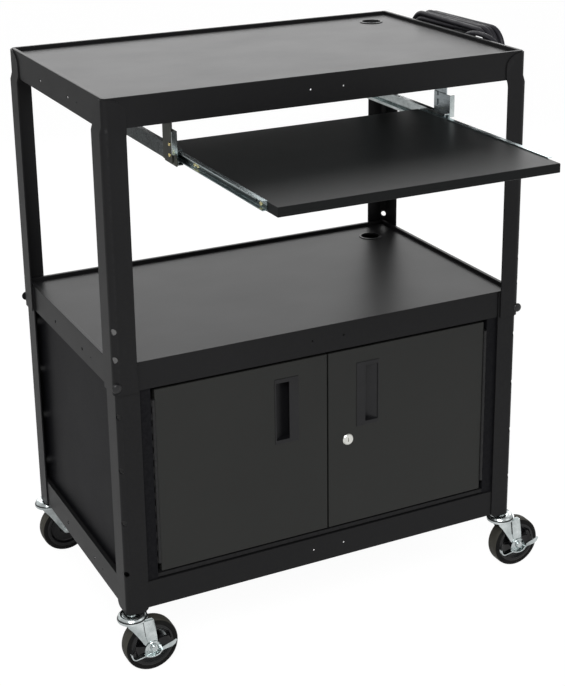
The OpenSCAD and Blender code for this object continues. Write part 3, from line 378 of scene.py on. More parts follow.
def line_object(name, points):
    mesh = bpy.data.meshes.new(name)
    mesh.from_pydata([tuple(p) for p in points], [(i, i + 1) for i in range(len(points) - 1)], [])
    return add_object(name, mesh)


def power_cord():
    route = cord_route()
    inputs = {"Radius": CORD_D / 2 * MM, "Sides": CORD_SIDES, "Finish": FINISHES["cord_jacket"]}
    cord = bake_tree(line_object("cord_line", route), tube_tree(), inputs, "power_cord")
    dress(cord, "upper_frame", "cord_jacket", "cord_jacket",
          "power_cord_lead", "power_cord_hank", "power_cord_tail")
    length = sum((b - a).length for a, b in zip(route, route[1:]))
    return cord, route, length


# The plug's length, its blades and its earth pin, in millimetres
PLUG_L = 38
BLADE_W, BLADE_T, BLADE_L, BLADE_SIDE, BLADE_TAPER = 6.4, 1.5, 16, 6.35, 0.86
PIN_OFF = 8
PIN = [(0, 0), (2.4, 0), (2.4, 16), (1.6, 18), (0, 18)]
GRIP_RIBS, RIB_PITCH, RIB_GROWTH = 4, 3, 0.4
PLUG_FLARE = [(8.2, 13.4), (9.6, 14.6), (11.4, 17), (12.6, 20), (13, 23), (13, 36.4), (12.4, 37.6),
              (11.4, PLUG_L), (0, PLUG_L)]


def plug_body(end, axis):
    """Moulded body with a ribbed grip, from the cord's end outwards."""
    profile = [(0, 0), (5.6, 0), (6.2, 1)]
    for k in range(GRIP_RIBS):
        base, crest, dip = 1 + k * RIB_PITCH, 6.4 + k * RIB_GROWTH, 5.7 + k * RIB_GROWTH
        profile += [(crest, base + 0.4), (crest, base + 2), (dip, base + 2.2), (dip, base + 2.8)]
    bm = lathe(bmesh.new(), profile + PLUG_FLARE, end, axis, 40, closed=False)
    return piece_from("plug_body", outward(bm), 50)


def plug_blades(end, axis):
    """Two flat blades with tapered tips and a round earth pin."""
    bm = bmesh.new()
    across = Vector((1, 0, 0))
    basis = Matrix((across, axis.cross(across), axis)).transposed()
    for side in (-1, 1):
        for v in bmesh.ops.create_cube(bm, size=1)["verts"]:
            taper = BLADE_TAPER if v.co.z > 0 else 1
            local = Vector((v.co.x * BLADE_W * taper, v.co.y * BLADE_T * taper + side * BLADE_SIDE,
                            PLUG_L + (v.co.z + 0.5) * BLADE_L))
            v.co = (end + basis @ local) * MM
    lathe(bm, PIN, end + basis @ Vector((PIN_OFF, 0, PLUG_L)), axis, 24, closed=False)
    return piece_from("plug_blades", outward(bm), 30)


def mains_plug():
    """Plug in line with the last step of the cord's tail."""
    before, end = [point / MM for point in skirt_points(TAIL_POINTS)[-2:]]
    lean = math.atan2(before.z - end.z, end.y - before.y)
    axis = Vector((0, math.cos(lean), -math.sin(lean)))
    body, blades = plug_body(end, axis), plug_blades(end, axis)
    stand_in(body, "power_plug", "plug_plastic")
    dress(blades, "upper_frame", "brass", "yellow_zinc")
    return body, blades


GLAND_PLACE = (HALF_W + 8.1, 15, TOP_Z - 16)
GLAND_BORE = CORD_D / 2 - 0.05
GLAND_RIBS, GLAND_PITCH = 5, 3.5


def cord_gland():
    """Ribbed strain relief, tapered towards the cord."""
    profile = [(GLAND_BORE, 0), (7.5, 0), (7.5, 3.4), (7.1, 4)]
    for k in range(GLAND_RIBS):
        r, base = 6.6 - k * 0.2, 4 + k * GLAND_PITCH
        profile += [(r - 0.5, base + 0.3), (r - 0.5, base + 1.2), (r, base + 1.5), (r, base + 3.2)]
    profile += [(5.5, 21.8), (GLAND_BORE, 22)]
    bm = lathe(bmesh.new(), profile, GLAND_PLACE, (0, -1, 0), 32)
    return stand_in(piece_from("cord_gland", outward(bm), 40), "strain_relief", "grommet_plastic")


# Effects that materials share

def effect(name, inputs, outputs):
    """Node group with a vector and the given values as inputs, and numbers as outputs."""
    tree = bpy.data.node_groups.new(name, "ShaderNodeTree")
    socket(tree, "Vector", "NodeSocketVector")
    for label, value in inputs.items():
        kind = "NodeSocketVector" if isinstance(value, tuple) else "NodeSocketFloat"
        socket(tree, label, kind, "INPUT", value)
    for label in outputs:
        socket(tree, label, "NodeSocketFloat", "OUTPUT")
    return tree, *add_nodes(tree, "NodeGroupInput", "NodeGroupOutput")


def maths(tree, operation, a, b=None, clamp=False):
    node = tree.nodes.new("ShaderNodeMath")
    node.operation = operation
    node.use_clamp = clamp
    feed(tree, a, node.inputs[0])
    if b is not None:
        feed(tree, b, node.inputs[1])
    return node.outputs[0]


def noise(tree, vector, scale, detail, rough):
    node = tree.nodes.new("ShaderNodeTexNoise")
    node.inputs["Detail"].default_value = detail
    node.inputs["Roughness"].default_value = rough
    feed(tree, scale, node.inputs["Scale"])
    feed(tree, vector, node.inputs["Vector"])
    return node.outputs["Fac"]


def mapped(tree, value, low, high, to_low=0.0, to_high=1.0):
    node = tree.nodes.new("ShaderNodeMapRange")
    node.clamp = True
    for i, v in enumerate((value, low, high, to_low, to_high)):
        feed(tree, v, node.inputs[i])
    return node.outputs[0]


def coat_grain():
    """Fine pebbled skin of powder coat or moulded plastic."""
    tree, given, out = effect("coat_grain", {"Grain Scale": 900.0, "Wave Scale": 60.0, "Wave": 0.3},
                              ("Height", "Mottle"))
    place = given.outputs["Vector"]
    fine = noise(tree, place, given.outputs["Grain Scale"], 3.0, 0.6)
    wave = noise(tree, place, given.outputs["Wave Scale"], 2.0, 0.5)
    height = maths(tree, "ADD", fine, maths(tree, "MULTIPLY", wave, given.outputs["Wave"]))
    feed(tree, height, out.inputs["Height"])
    feed(tree, mapped(tree, fine, 0.35, 0.65), out.inputs["Mottle"])
    return tree


def handling():
    """Broad uneven patches where hands and cloths have passed."""
    tree, given, out = effect("handling", {"Patch Scale": 4.0}, ("Patches", "Smears"))
    place, scale = given.outputs["Vector"], given.outputs["Patch Scale"]
    broad = noise(tree, place, scale, 4.0, 0.55)
    stretch = tree.nodes.new("ShaderNodeMapping")
    stretch.inputs["Scale"].default_value = (0.8, 1.3, 1.1)
    stretch.inputs["Rotation"].default_value = (0.1, 0.2, 0.5)
    feed(tree, place, stretch.inputs["Vector"])
    smear = noise(tree, stretch.outputs["Vector"], maths(tree, "MULTIPLY", scale, 3.0), 5.0, 0.6)
    feed(tree, mapped(tree, broad, 0.3, 0.7), out.inputs["Patches"])
    feed(tree, mapped(tree, smear, 0.35, 0.75), out.inputs["Smears"])
    return tree


def edge_wear_and_highlight():
    """Mask of the outer edges, broken up by noise, for wear and for painted edge highlights."""
    tree, given, out = effect("edge_wear_and_highlight", {"Chip Scale": 180.0}, ("Edge",))
    shape = tree.nodes.new("ShaderNodeNewGeometry")
    edge = mapped(tree, shape.outputs["Pointiness"], 0.52, 0.60)
    spread = noise(tree, given.outputs["Vector"], given.outputs["Chip Scale"], 3.0, 0.6)
    breaks = mapped(tree, spread, 0.4, 0.62)
    feed(tree, maths(tree, "MULTIPLY", edge, breaks, True), out.inputs["Edge"])
    return tree


def drawn_streaks():
    """Fine lines of rolled or brushed metal along one direction, and broad patches that are partly the
    plating's bloom and partly painted reflection.
    """
    tree, given, out = effect("drawn_streaks", {"Stretch": (1.0, 0.02, 1.0), "Line Scale": 700.0},
                              ("Lines", "Bloom And Reflection"))
    place = given.outputs["Vector"]
    product = tree.nodes.new("ShaderNodeVectorMath")
    product.operation = "MULTIPLY"
    feed(tree, place, product.inputs[0])
    feed(tree, given.outputs["Stretch"], product.inputs[1])
    lines = noise(tree, product.outputs[0], given.outputs["Line Scale"], 3.0, 0.6)
    bloom_and_reflection = mapped(tree, noise(tree, place, 30.0, 4.0, 0.6), 0.3, 0.7)
    feed(tree, lines, out.inputs["Lines"])
    feed(tree, bloom_and_reflection, out.inputs["Bloom And Reflection"])
    return tree


def use(tree, key, vector, **values):
    """Places a shared effect in a material with its own values."""
    node = tree.nodes.new("ShaderNodeGroup")
    node.node_tree = EFFECTS[key]
    feed(tree, vector, node.inputs["Vector"])
    for name, value in values.items():
        node.inputs[name.replace("_", " ")].default_value = value
    return node


def finish(name, roughness, metallic=0.0, specular=0.5):
    material = bpy.data.materials.new(name)
    material.use_nodes = True
    tree = material.node_tree
    shader = tree.nodes["Principled BSDF"]
    shader.inputs["Roughness"].default_value = roughness
    shader.inputs["Metallic"].default_value = metallic
    shader.inputs["Specular IOR Level"].default_value = specular
    place = tree.nodes.new("ShaderNodeTexCoord").outputs["Object"]
    return material, tree, shader, place


def blend_colours(tree, factor, first, second):
    node = tree.nodes.new("ShaderNodeMix")
    node.data_type = "RGBA"
    for slot_index, value in ((6, first), (7, second)):
        feed(tree, (*value, 1) if isinstance(value, tuple) else value, node.inputs[slot_index])
    feed(tree, factor, node.inputs[0])
    return node.outputs[2]


def wear_and_highlight_edges(tree, place, base, break_scale, share, colour):
    """Base colour with a share of another colour on its outer edges, as wear and as a painted edge highlight.
    """
    worn_and_lit = use(tree, "edge_wear_and_highlight", place, Chip_Scale=break_scale)
    return blend_colours(tree, maths(tree, "MULTIPLY", worn_and_lit.outputs["Edge"], share), base, colour)


def surface(tree, shader, base, rough, height, strength, depth):
    """Links a shader's colour and roughness and bumps it by a height."""
    feed(tree, base, shader.inputs["Base Color"])
    feed(tree, rough, shader.inputs["Roughness"])
    bump = tree.nodes.new("ShaderNodeBump")
    bump.inputs["Strength"].default_value = strength
    bump.inputs["Distance"].default_value = depth
    feed(tree, height, bump.inputs["Height"])
    feed(tree, bump.outputs["Normal"], shader.inputs["Normal"])


# Colour of a coat on its outer edges, as wear and as a painted edge highlight; strength and depth in metres
# of a plating's drawn lines
COAT_WEAR_AND_HIGHLIGHT = (0.10, 0.10, 0.10)
STREAK_BUMP = (0.12, 0.0002)

# Stretches of the drawn lines
ALONG_Y, EVEN = (1.0, 0.03, 1.0), (1.0, 1.0, 1.0)

# Top and foot of the runners' band of painted shade over the ball race, and the fade at each, in metres
RACE_TOP, RACE_FOOT = 0.9415, 0.9352
TOP_FADE, FOOT_FADE = 0.0015, 0.0012


def powder_coat(name, dark, pale, roughness, grain_scale, depth, specular):
    material, tree, shader, place = finish(name, roughness, specular=specular)
    grain = use(tree, "coat_grain", place, Grain_Scale=grain_scale, Wave_Scale=26.0, Wave=0.5)
    hands = use(tree, "handling", place, Patch_Scale=3.0)
    base = blend_colours(tree, mapped(tree, hands.outputs["Patches"], 0.0, 1.0, 0.15, 0.6), dark, pale)
    base = blend_colours(tree, maths(tree, "MULTIPLY", grain.outputs["Mottle"], 0.12), base, pale)
    # Wear and painted edge highlight: the outer edges take a share of a paler grey
    base = wear_and_highlight_edges(tree, place, base, 160.0, 0.05, COAT_WEAR_AND_HIGHLIGHT)
    smears = mapped(tree, hands.outputs["Smears"], 0.0, 1.0, roughness - 0.012, roughness + 0.016)
    mottle = mapped(tree, grain.outputs["Mottle"], 0.0, 1.0, -0.01, 0.01)
    surface(tree, shader, base, maths(tree, "ADD", smears, mottle), grain.outputs["Height"], 0.35, depth)
    return material


def plated(name, low, high, roughness, stretch, line_scale=700.0, edge=None):
    material, tree, shader, place = finish(name, roughness, metallic=1.0)
    lines = use(tree, "drawn_streaks", place, Stretch=stretch, Line_Scale=line_scale)
    # Painted reflection: broad patches mix the low and high colour, partly as the plating's bloom and partly
    # as reflections
    base = blend_colours(tree, lines.outputs["Bloom And Reflection"], low, high)
    # Wear and painted edge highlight: the outer edges take a share of the edge colour or the high colour
    base = wear_and_highlight_edges(tree, place, base, 240.0, 0.12, edge or high)
    streaks = mapped(tree, lines.outputs["Lines"], 0.3, 0.7, roughness - 0.07, roughness + 0.09)
    bloom_and_reflection = mapped(tree, lines.outputs["Bloom And Reflection"], 0.0, 1.0, -0.03, 0.05)
    surface(tree, shader, base, maths(tree, "ADD", streaks, bloom_and_reflection), lines.outputs["Lines"], *STREAK_BUMP)
    return material


def runner_zinc():
    """Bright rolled runner: pale upper lip, the ball race below it in shadow, a pale lower lip."""
    material, tree, shader, place = finish("runner_zinc", 0.24, metallic=1.0)
    lines = use(tree, "drawn_streaks", place, Stretch=ALONG_Y, Line_Scale=700.0)
    parts = tree.nodes.new("ShaderNodeSeparateXYZ")
    feed(tree, place, parts.inputs[0])
    # Painted shade: the runner is darkened between the race's foot and top, standing in for the ball race in
    # shadow
    under_top = mapped(tree, parts.outputs["Z"], RACE_TOP, RACE_TOP + TOP_FADE, 1.0, 0.0)
    over_foot = mapped(tree, parts.outputs["Z"], RACE_FOOT, RACE_FOOT + FOOT_FADE)
    shade = maths(tree, "MULTIPLY", maths(tree, "MULTIPLY", under_top, over_foot), 0.88)
    # Painted reflection: the steel's broad patches are partly the plating's bloom and partly reflections
    steel = blend_colours(tree, lines.outputs["Bloom And Reflection"], (0.46, 0.55, 0.57), (0.66, 0.74, 0.75))
    base = blend_colours(tree, shade, steel, (0.045, 0.062, 0.06))
    rough = mapped(tree, lines.outputs["Lines"], 0.3, 0.7, 0.18, 0.34)
    surface(tree, shader, base, rough, lines.outputs["Lines"], *STREAK_BUMP)
    return material


def moulded(name, dark, pale, roughness, grain_scale, depth, specular):
    material, tree, shader, place = finish(name, roughness, specular=specular)
    grain = use(tree, "coat_grain", place, Grain_Scale=grain_scale, Wave_Scale=40.0, Wave=0.2)
    hands = use(tree, "handling", place, Patch_Scale=14.0)
    base = blend_colours(tree, hands.outputs["Patches"], dark, pale)
    # Wear and painted edge highlight: the outer edges take a share of a paler colour
    base = wear_and_highlight_edges(tree, place, base, 200.0, 0.06, tuple(min(3 * v, 1) for v in pale))
    smears = mapped(tree, hands.outputs["Smears"], 0.0, 1.0, roughness - 0.06, roughness + 0.08)
    surface(tree, shader, base, smears, grain.outputs["Height"], 0.3, depth)
    return material


def tread_rubber():
    """Brownish running surface; the tyre's sides are nearly black."""
    material, tree, shader, place = finish("tread_rubber", 0.62, specular=0.10)
    grain = use(tree, "coat_grain", place, Grain_Scale=800.0, Wave_Scale=50.0, Wave=0.4)
    hands = use(tree, "handling", place, Patch_Scale=18.0)
    turned = tree.nodes.new("ShaderNodeSeparateXYZ")
    feed(tree, tree.nodes["Texture Coordinate"].outputs["Normal"], turned.inputs[0])
    side = mapped(tree, maths(tree, "ABSOLUTE", turned.outputs["Y"]), 0.45, 0.8)
    tread = blend_colours(tree, hands.outputs["Patches"], (0.046, 0.044, 0.037), (0.080, 0.077, 0.065))
    base = blend_colours(tree, side, tread, (0.007, 0.007, 0.0068))
    smears = mapped(tree, hands.outputs["Smears"], 0.0, 1.0, 0.5, 0.68)
    surface(tree, shader, base, smears, grain.outputs["Height"], 0.3, 0.0002)
    return material


# Coats and mouldings: dark and pale colour, roughness, grain scale, bump depth in metres, specular level
COATS = {
    "frame_coat": ((0.0095, 0.0095, 0.0101), (0.0130, 0.0130, 0.0136), 0.38, 2200.0, 0.00003, 0.12),
    "panel_coat": ((0.0070, 0.0070, 0.0082), (0.0095, 0.0095, 0.0112), 0.42, 2200.0, 0.00003, 0.035),
    "door_coat": ((0.0175, 0.0180, 0.0168), (0.0240, 0.0248, 0.0230), 0.40, 2200.0, 0.00003, 0.20),
    "hinge_coat": ((0.009, 0.009, 0.0095), (0.013, 0.013, 0.0135), 0.42, 1500.0, 0.00005, 0.25),
    "laminate": ((0.0085, 0.0092, 0.0093), (0.012, 0.0128, 0.0130), 0.34, 1900.0, 0.00004, 0.07)}
MOULDINGS = {
    "black_oxide": ((0.008, 0.008, 0.0085), (0.013, 0.013, 0.014), 0.34, 900.0, 0.00008, 0.35),
    "grommet_plastic": ((0.005, 0.005, 0.006), (0.008, 0.008, 0.009), 0.40, 1400.0, 0.00008, 0.3),
    "hub_gloss": ((0.003, 0.003, 0.0035), (0.005, 0.005, 0.0055), 0.11, 900.0, 0.00002, 0.34),
    "cord_jacket": ((0.018, 0.0172, 0.0215), (0.027, 0.0258, 0.0315), 0.50, 1100.0, 0.0001, 0.2),
    "plug_plastic": ((0.015, 0.014, 0.018), (0.022, 0.020, 0.025), 0.48, 1000.0, 0.0001, 0.3)}

# Platings: low and high colour, mixed in patches of bloom and painted reflection, roughness, stretch, then
# line scale and the colour of edge wear and painted edge highlights where they differ
PLATINGS = {
    "zinc_plate": ((0.34, 0.38, 0.40), (0.50, 0.55, 0.57), 0.28, ALONG_Y),
    # Painted shade: the next two are dark copies of the zinc, for the left slide's hangers, carriers and rail
    "dull_zinc": ((0.055, 0.058, 0.048), (0.10, 0.106, 0.09), 0.38, (1.0, 1.0, 0.05)),
    "rail_zinc": ((0.045, 0.055, 0.056), (0.085, 0.10, 0.10), 0.30, ALONG_Y, 700.0, (0.7, 0.76, 0.78)),
    "caster_zinc": ((0.36, 0.40, 0.40), (0.74, 0.79, 0.79), 0.17, (1.0, 1.0, 0.08), 500.0),
    "yellow_zinc": ((0.82, 0.68, 0.30), (0.95, 0.86, 0.52), 0.24, EVEN),
    "satin_nickel": ((0.60, 0.60, 0.56), (0.72, 0.72, 0.68), 0.28, (1.0, 1.0, 0.1), 900.0),
    "ball_steel": ((0.66, 0.67, 0.68), (0.78, 0.79, 0.80), 0.12, EVEN)}


def make_finishes():
    for make in (coat_grain, handling, edge_wear_and_highlight, drawn_streaks):
        EFFECTS[make.__name__] = make()
    for make, kinds in ((powder_coat, COATS), (plated, PLATINGS), (moulded, MOULDINGS)):
        FINISHES.update({name: make(name, *values) for name, values in kinds.items()})
    FINISHES.update(runner_zinc=runner_zinc(), tread_rubber=tread_rubber())


# Pieces

FINISH_OF_SLOT = {
    "frame_black": "frame_coat", "door_black": "door_coat", "hinge_black": "hinge_coat",
    "black_plastic": "grommet_plastic", "black_steel": "black_oxide", "zinc": "zinc_plate",
    "ball_steel": "ball_steel", "nickel": "satin_nickel", "brass": "yellow_zinc",
    "black_laminate": "laminate", "tread_rubber": "tread_rubber", "hub_plastic": "hub_gloss",
    "cord_jacket": "cord_jacket", "plug_plastic": "plug_plastic"}
# Painted light and shade: the left slide's hardware takes the dark copies of the zinc, and the right rail
# takes the casters' bright zinc
FINISH_OF_NODE = {
    "slide_hangers": "dull_zinc", "slide_carriers": "dull_zinc",
    "slide_rail_left": "rail_zinc", "slide_rail_right": "caster_zinc",
    "slide_runner_left": "runner_zinc", "slide_runner_right": "runner_zinc"}

# Width of the eased edges in millimetres
SHEET_EASE, PANEL_EASE, DOOR_EASE, PULL_EASE, BOARD_EASE, CARRIER_EASE = 0.5, 0.3, 1.8, 0.7, 0.8, 0.4
RIM_ROLL = 2.6


def paint_nodes():
    """Materials of the CAD nodes that stay."""
    for name, node in NODES.items():
        key = FINISH_OF_NODE.get(name) or FINISH_OF_SLOT[SLOT_OF[name]]
        if name.startswith(("caster", "brake")):
            key = "caster_zinc"
        node.data.materials.clear()
        node.data.materials.append(FINISHES[key])


def rounded_node(node, width, key, steps=2, first=None):
    """Stands for a CAD node with the same shape and eased edges."""
    bm = merged_copy(node)
    if first:
        first(bm)
    eased(bm, width, steps=steps)
    return stand_in(piece_from(node + "_eased", bm), node, key)


def rolled_rim(rim_z):
    """Rounds a pan's rim into a rolled bead before the small edges are eased."""
    def at_rim(edge):
        return all(abs(v.co.z - rim_z * MM) < 0.0002 for v in edge.verts)

    def apply(bm):
        eased(bm, RIM_ROLL, 60, choose=at_rim, steps=5)
    return apply


# Casters

# Sizes in millimetres; outlines are in X from the stem's axis and in height above the floor
FORK_GAP, FORK_OUT = 17.5, 20.0
FOOT_R = 9.5
LEG_LINE = [(-19, 109.5), (-15, 102.5), (-6, 91.5), (3, 78), (10.5, 66), (17, 55.5)]
LEG_BACK = [(40.6, 62), (37.5, 88), (34.5, 107), (30, 111.5), (-17, 111.5)]
CROWN_R, CROWN_STRETCH, CROWN_AHEAD, CROWN_HALF_W, CROWN_SPREAD = 34, 0.78, 3, 20, 1.25
CROWN_HEIGHTS = (109.0, 111.5)

# Folded strap down each leg: X, height and width
FOLD_LINE = [(14, 108, 19.5), (15.5, 92, 20.5), (17.5, 76, 20), (20, 65, 18)]

# Turned parts as radius and height
RACE_CUP = [(9, 105.2), (24, 105.2), (26.6, 106.6), (27.2, 108.8), (26.8, 111), (25.2, 112.6), (22.6, 113.4),
            (20.6, 115.2), (17.5, 116.6), (12, 117.2), (9, 117.2)]
NUT = [(0, 0), (7.6, 0), (7.6, 1.0), (6.9, 1.4), (6.6, 4.0), (5.2, 5.2), (3.2, 5.7), (0, 5.8)]
NUT_OUT, BRAKE_NUT_OUT = 0.4, 3.4
TYRE_HALF = [(41.2, 14.2), (44, 14.8), (47, 14.6), (49.2, 13.2), (50.4, 10.8), (50.8, 7.5)]
HUB_HALF = [(5.4, 15.4), (10.2, 15.4), (11.4, 14.6), (12, 12.2), (14, 9.2), (19, 8.2), (26, 8.4), (31, 9.8),
            (33.4, 12.4), (34.8, 14.1), (37, 14.8), (39.8, 14.6), (41.1, 13.8)]

# Faces of the fork painted dark as shade in the race cup's grooves and at its lower edge, a band that also
# takes a few small leg faces: between two radii from the stem and two heights
DARK_BANDS = ((24.9, 27.0, 111.2, 120), (20.4, 22.8, 113.3, 120), (24.5, 27.4, 0, 106.4))

LEVER_LINE = [(-13.4, 51.6), (-11.5, 43.5), (-6.6, 39.9), (3, 41.5), (11, 43.2), (17, 41.3), (23.6, 39.5),
              (31, 39.4), (37.9, 41.5), (42, 46), (47, 48.6), (54, 49.6), (63, 51), (70.6, 55.0)]
LEVER_WEB = [(16, 55), (13.5, 46.5), (15.5, 42.4), (24, 39.8), (36, 40.5), (42.5, 46.5), (46, 49), (45, 56),
             (38, 62), (22, 61)]
LEVER_TAB = [(44, 48.2), (54, 49.8), (63, 51.2), (70.6, 55.2), (73.5, 60.5), (71, 63), (62, 59.5), (52, 56.4),
             (45, 54)]
LEVER_BOSS = [(5.2, 0), (12.2, 0), (12.4, 0.5), (12.4, 2.2), (11.9, 2.7), (5.2, 2.7)]
LEVER_HALF_T = 1.15

# The lever is narrower over the first share of its length and tapers over the last
HOOK_SHARE, HOOK_WIDTH, PEDAL_SHARE, PEDAL_TAPER = 0.25, 0.55, 0.93, 2.4


def stem_place(corner):
    """X and Y of a caster's stem."""
    side, end = CORNERS[corner]
    return side * STEM_X, end * STEM_Y


def join_into(bm, extra):
    spare = bpy.data.meshes.new("spare")
    extra.to_mesh(spare)
    extra.free()
    bm.from_mesh(spare)
    bpy.data.meshes.remove(spare)


def plate_from(bm, outline, low_y, high_y, at):
    """A flat plate in X and Z from one Y to another, in millimetres about a place."""
    skin_rows(bm, [spots(bm, [(x, y, z) for x, z in outline], at) for y in (low_y, high_y)])


def skin_rows(bm, rows):
    """Faces between rows of points, round each row and over both ends."""
    for low, high in zip(rows, rows[1:]):
        for k in range(len(low)):
            after = (k + 1) % len(low)
            bm.faces.new((low[k], low[after], high[after], high[k]))
    bm.faces.new(rows[0])
    bm.faces.new(list(reversed(rows[-1])))


def fork_leg_outline():
    angles = [math.radians(200 + 160 * k / 12) for k in range(13)]
    foot = [(TRAIL + FOOT_R * math.cos(a), WHEEL_R + FOOT_R * math.sin(a)) for a in angles]
    return LEG_LINE + foot + LEG_BACK


def fork_crown(bm, at):
    """Crown plate over both legs, its sides cut off at the fork's width."""
    outline = []
    for k in range(24):
        a = math.radians(15 * k)
        x, y = CROWN_R * math.cos(a) * CROWN_STRETCH + CROWN_AHEAD, CROWN_HALF_W * math.sin(a)
        outline.append((x, max(min(y * CROWN_SPREAD, FORK_OUT), -FORK_OUT)))
    skin_rows(bm, [spots(bm, [(x, y, z) for x, y in outline], at) for z in CROWN_HEIGHTS])


def fork_folds(at):
    """Pressed strap on the outside of each leg."""
    folds = bmesh.new()
    for sign in (-1, 1):
        face_y = sign * (FORK_OUT - 0.2)
        rows = []
        for x, z, w in FOLD_LINE:
            section = ((-0.6, -0.2), (0, 2.6), (w * 0.5, 3.1), (w - 1.5, 2.4), (w, -0.2))
            rows.append(spots(folds, [(x + dx, face_y + sign * dy, z) for dx, dy in section], at))
        skin_rows(folds, rows)
    return outward(folds)


def caster_fork(corner):
    """Pressed fork: crown plate, two swept legs with a folded strap, and race cup."""
    sx, sy = stem_place(corner)
    at = (sx, sy, 0)
    bm = bmesh.new()
    for sign in (-1, 1):
        low, high = sorted((sign * FORK_GAP, sign * FORK_OUT))
        plate_from(bm, fork_leg_outline(), low, high, at)
    fork_crown(bm, at)
    eased(outward(bm), 0.9, 40)
    join_into(bm, fork_folds(at))
    lathe(bm, RACE_CUP, at, steps=56)
    piece = stand_in(piece_from("fork_" + corner, bm, 30), "caster_fork_" + corner, "caster_zinc")
    piece.data.materials.append(FINISHES["black_oxide"])
    # Painted shade: faces in the dark bands take the black oxide finish
    for face in piece.data.polygons:
        x, y, z = face.center / MM
        r = math.hypot(x - sx, y - sy)
        if any(inner < r < outer and low < z < high for inner, outer, low, high in DARK_BANDS):
            face.material_index = 1


def axle_nuts(corner):
    sx, sy = stem_place(corner)
    bm = bmesh.new()
    for sign in (-1, 1):
        braked = corner.startswith("front") and sign < 0
        base = FORK_OUT + (BRAKE_NUT_OUT if braked else NUT_OUT)
        lathe(bm, NUT, (sx + TRAIL, sy + sign * base, WHEEL_R), (0, sign, 0), 36, closed=False)
    dress(piece_from("axle_nuts_" + corner, outward(bm), 30), "caster_" + corner, "zinc", "caster_zinc")


def lever_strip(sx, low_y, high_y):
    """The lever's bent strip, narrow at the hook and at the pedal's end."""
    line = curve_through([Vector((x, 0, z)) for x, z in LEVER_LINE], 5)
    last = len(line) - 1
    mid = (low_y + high_y) / 2
    bm = bmesh.new()
    rows = []
    for i, p in enumerate(line):
        ahead = line[min(i + 1, last)] - line[max(i - 1, 0)]
        up = Vector((-ahead.z, 0, ahead.x)).normalized() * LEVER_HALF_T
        share = i / last
        hook = HOOK_WIDTH + (1 - HOOK_WIDTH) * min(share / HOOK_SHARE, 1)
        pedal = 1 if share < PEDAL_SHARE else 1 - PEDAL_TAPER * (share - PEDAL_SHARE)
        half = (high_y - low_y) / 2 * hook * pedal
        section = ((p - up, mid - half), (p - up, mid + half), (p + up, mid + half), (p + up, mid - half))
        rows.append(spots(bm, [(sx + q.x, y, q.z) for q, y in section]))
    skin_rows(bm, rows)
    return eased(outward(bm), 0.5, 50)


def brake_lever(side):
    """Bent spring-steel lever: a hook that bites the tyre and an upturned pedal."""
    node = "brake_lever_" + side
    low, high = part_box(node)
    low_y, high_y = low[1] / MM, high[1] / MM
    sx = stem_place("front_" + side)[0]
    bm = lever_strip(sx, low_y, high_y)
    face_y = -STEM_Y - FORK_OUT
    plates = ((LEVER_WEB, face_y - 2.4, face_y - 0.4), (LEVER_TAB, low_y + 0.3, low_y + 1.7))
    for outline, near_y, far_y in plates:
        spare = bmesh.new()
        plate_from(spare, outline, near_y, far_y, (sx, 0, 0))
        join_into(bm, eased(outward(spare), 0.4, 40))
    lathe(bm, LEVER_BOSS, (sx + TRAIL, face_y - 0.2, WHEEL_R), (0, -1, 0), 40)
    stand_in(piece_from(node + "_pressed", bm, 30), node, "caster_zinc")


def turned_piece(name, half, at, steps):
    """Piece turned about the axle from one half of its profile."""
    profile = [(r, -h) for r, h in half] + [(r, h) for r, h in reversed(half)]
    return piece_from(name, outward(lathe(bmesh.new(), profile, at, (0, 1, 0), steps)), 30)


def wheel(corner):
    """Rubber tyre with rounded shoulders on a dished, glossy hub."""
    sx, sy = stem_place(corner)
    at = (sx + TRAIL, sy, WHEEL_R)
    tyre = turned_piece("tyre_" + corner + "_round", TYRE_HALF, at, 72)
    stand_in(tyre, "tyre_" + corner, "tread_rubber")
    hub = turned_piece("wheel_hub_" + corner + "_dished", HUB_HALF, at, 64)
    stand_in(hub, "wheel_hub_" + corner, "hub_gloss")


# Screws and bolts

# Radii and heights of the heads and the places of the hanger screws, in millimetres
BOLT_R, BOLT_H, SCREW_R, SCREW_H = 8.6, 4.4, 3.5, 1.8
HANGER_FRONT, HANGER_BACK, HANGER_PITCH = 10, 30, 18.9

# Head profile and cross recess as shares of the head's radius and height
HEAD_SHARES = ((0, 0), (1, 0), (1, 0.3), (0.93, 0.62), (0.7, 0.9), (0.42, 1), (0, 1))
RECESS_SHARES = (0.9, 0.16, 0.1)
HALF_TURN, TWIST_SEED = 3.14159, 11


def loose_boxes(node):
    """Lowest and highest corners of each separate solid in a CAD node."""
    bm = merged_copy(node)
    left, found = set(bm.verts), []
    while left:
        group, edge = [], [left.pop()]
        while edge:
            v = edge.pop()
            group.append(v.co)
            for e in v.link_edges:
                other = e.other_vert(v)
                if other in left:
                    left.discard(other)
                    edge.append(other)
        low = Vector([min(c[i] for c in group) for i in range(3)])
        high = Vector([max(c[i] for c in group) for i in range(3)])
        found.append((low, high))
    bm.free()
    return found


def head_template(name, radius, height, recess):
    """Round screw head with a cross recess, standing on the XY plane, in millimetres."""
    profile = [(radius * r, height * h) for r, h in HEAD_SHARES]
    bm = outward(lathe(bmesh.new(), profile, (0, 0, 0), steps=24, closed=False))
    if recess:
        length, width, depth = RECESS_SHARES
        size = Vector((radius * length, radius * width, height * depth)) * MM
        for turn in (0, 90):
            made = bmesh.ops.create_cube(bm, size=1)["verts"]
            bmesh.ops.scale(bm, vec=size, verts=made)
            about_z = Matrix.Rotation(math.radians(turn), 3, "Z")
            bmesh.ops.rotate(bm, cent=(0, 0, 0), matrix=about_z, verts=made)
            bmesh.ops.translate(bm, vec=(0, 0, height * MM), verts=made)
    return piece_from(name, bm, 30)


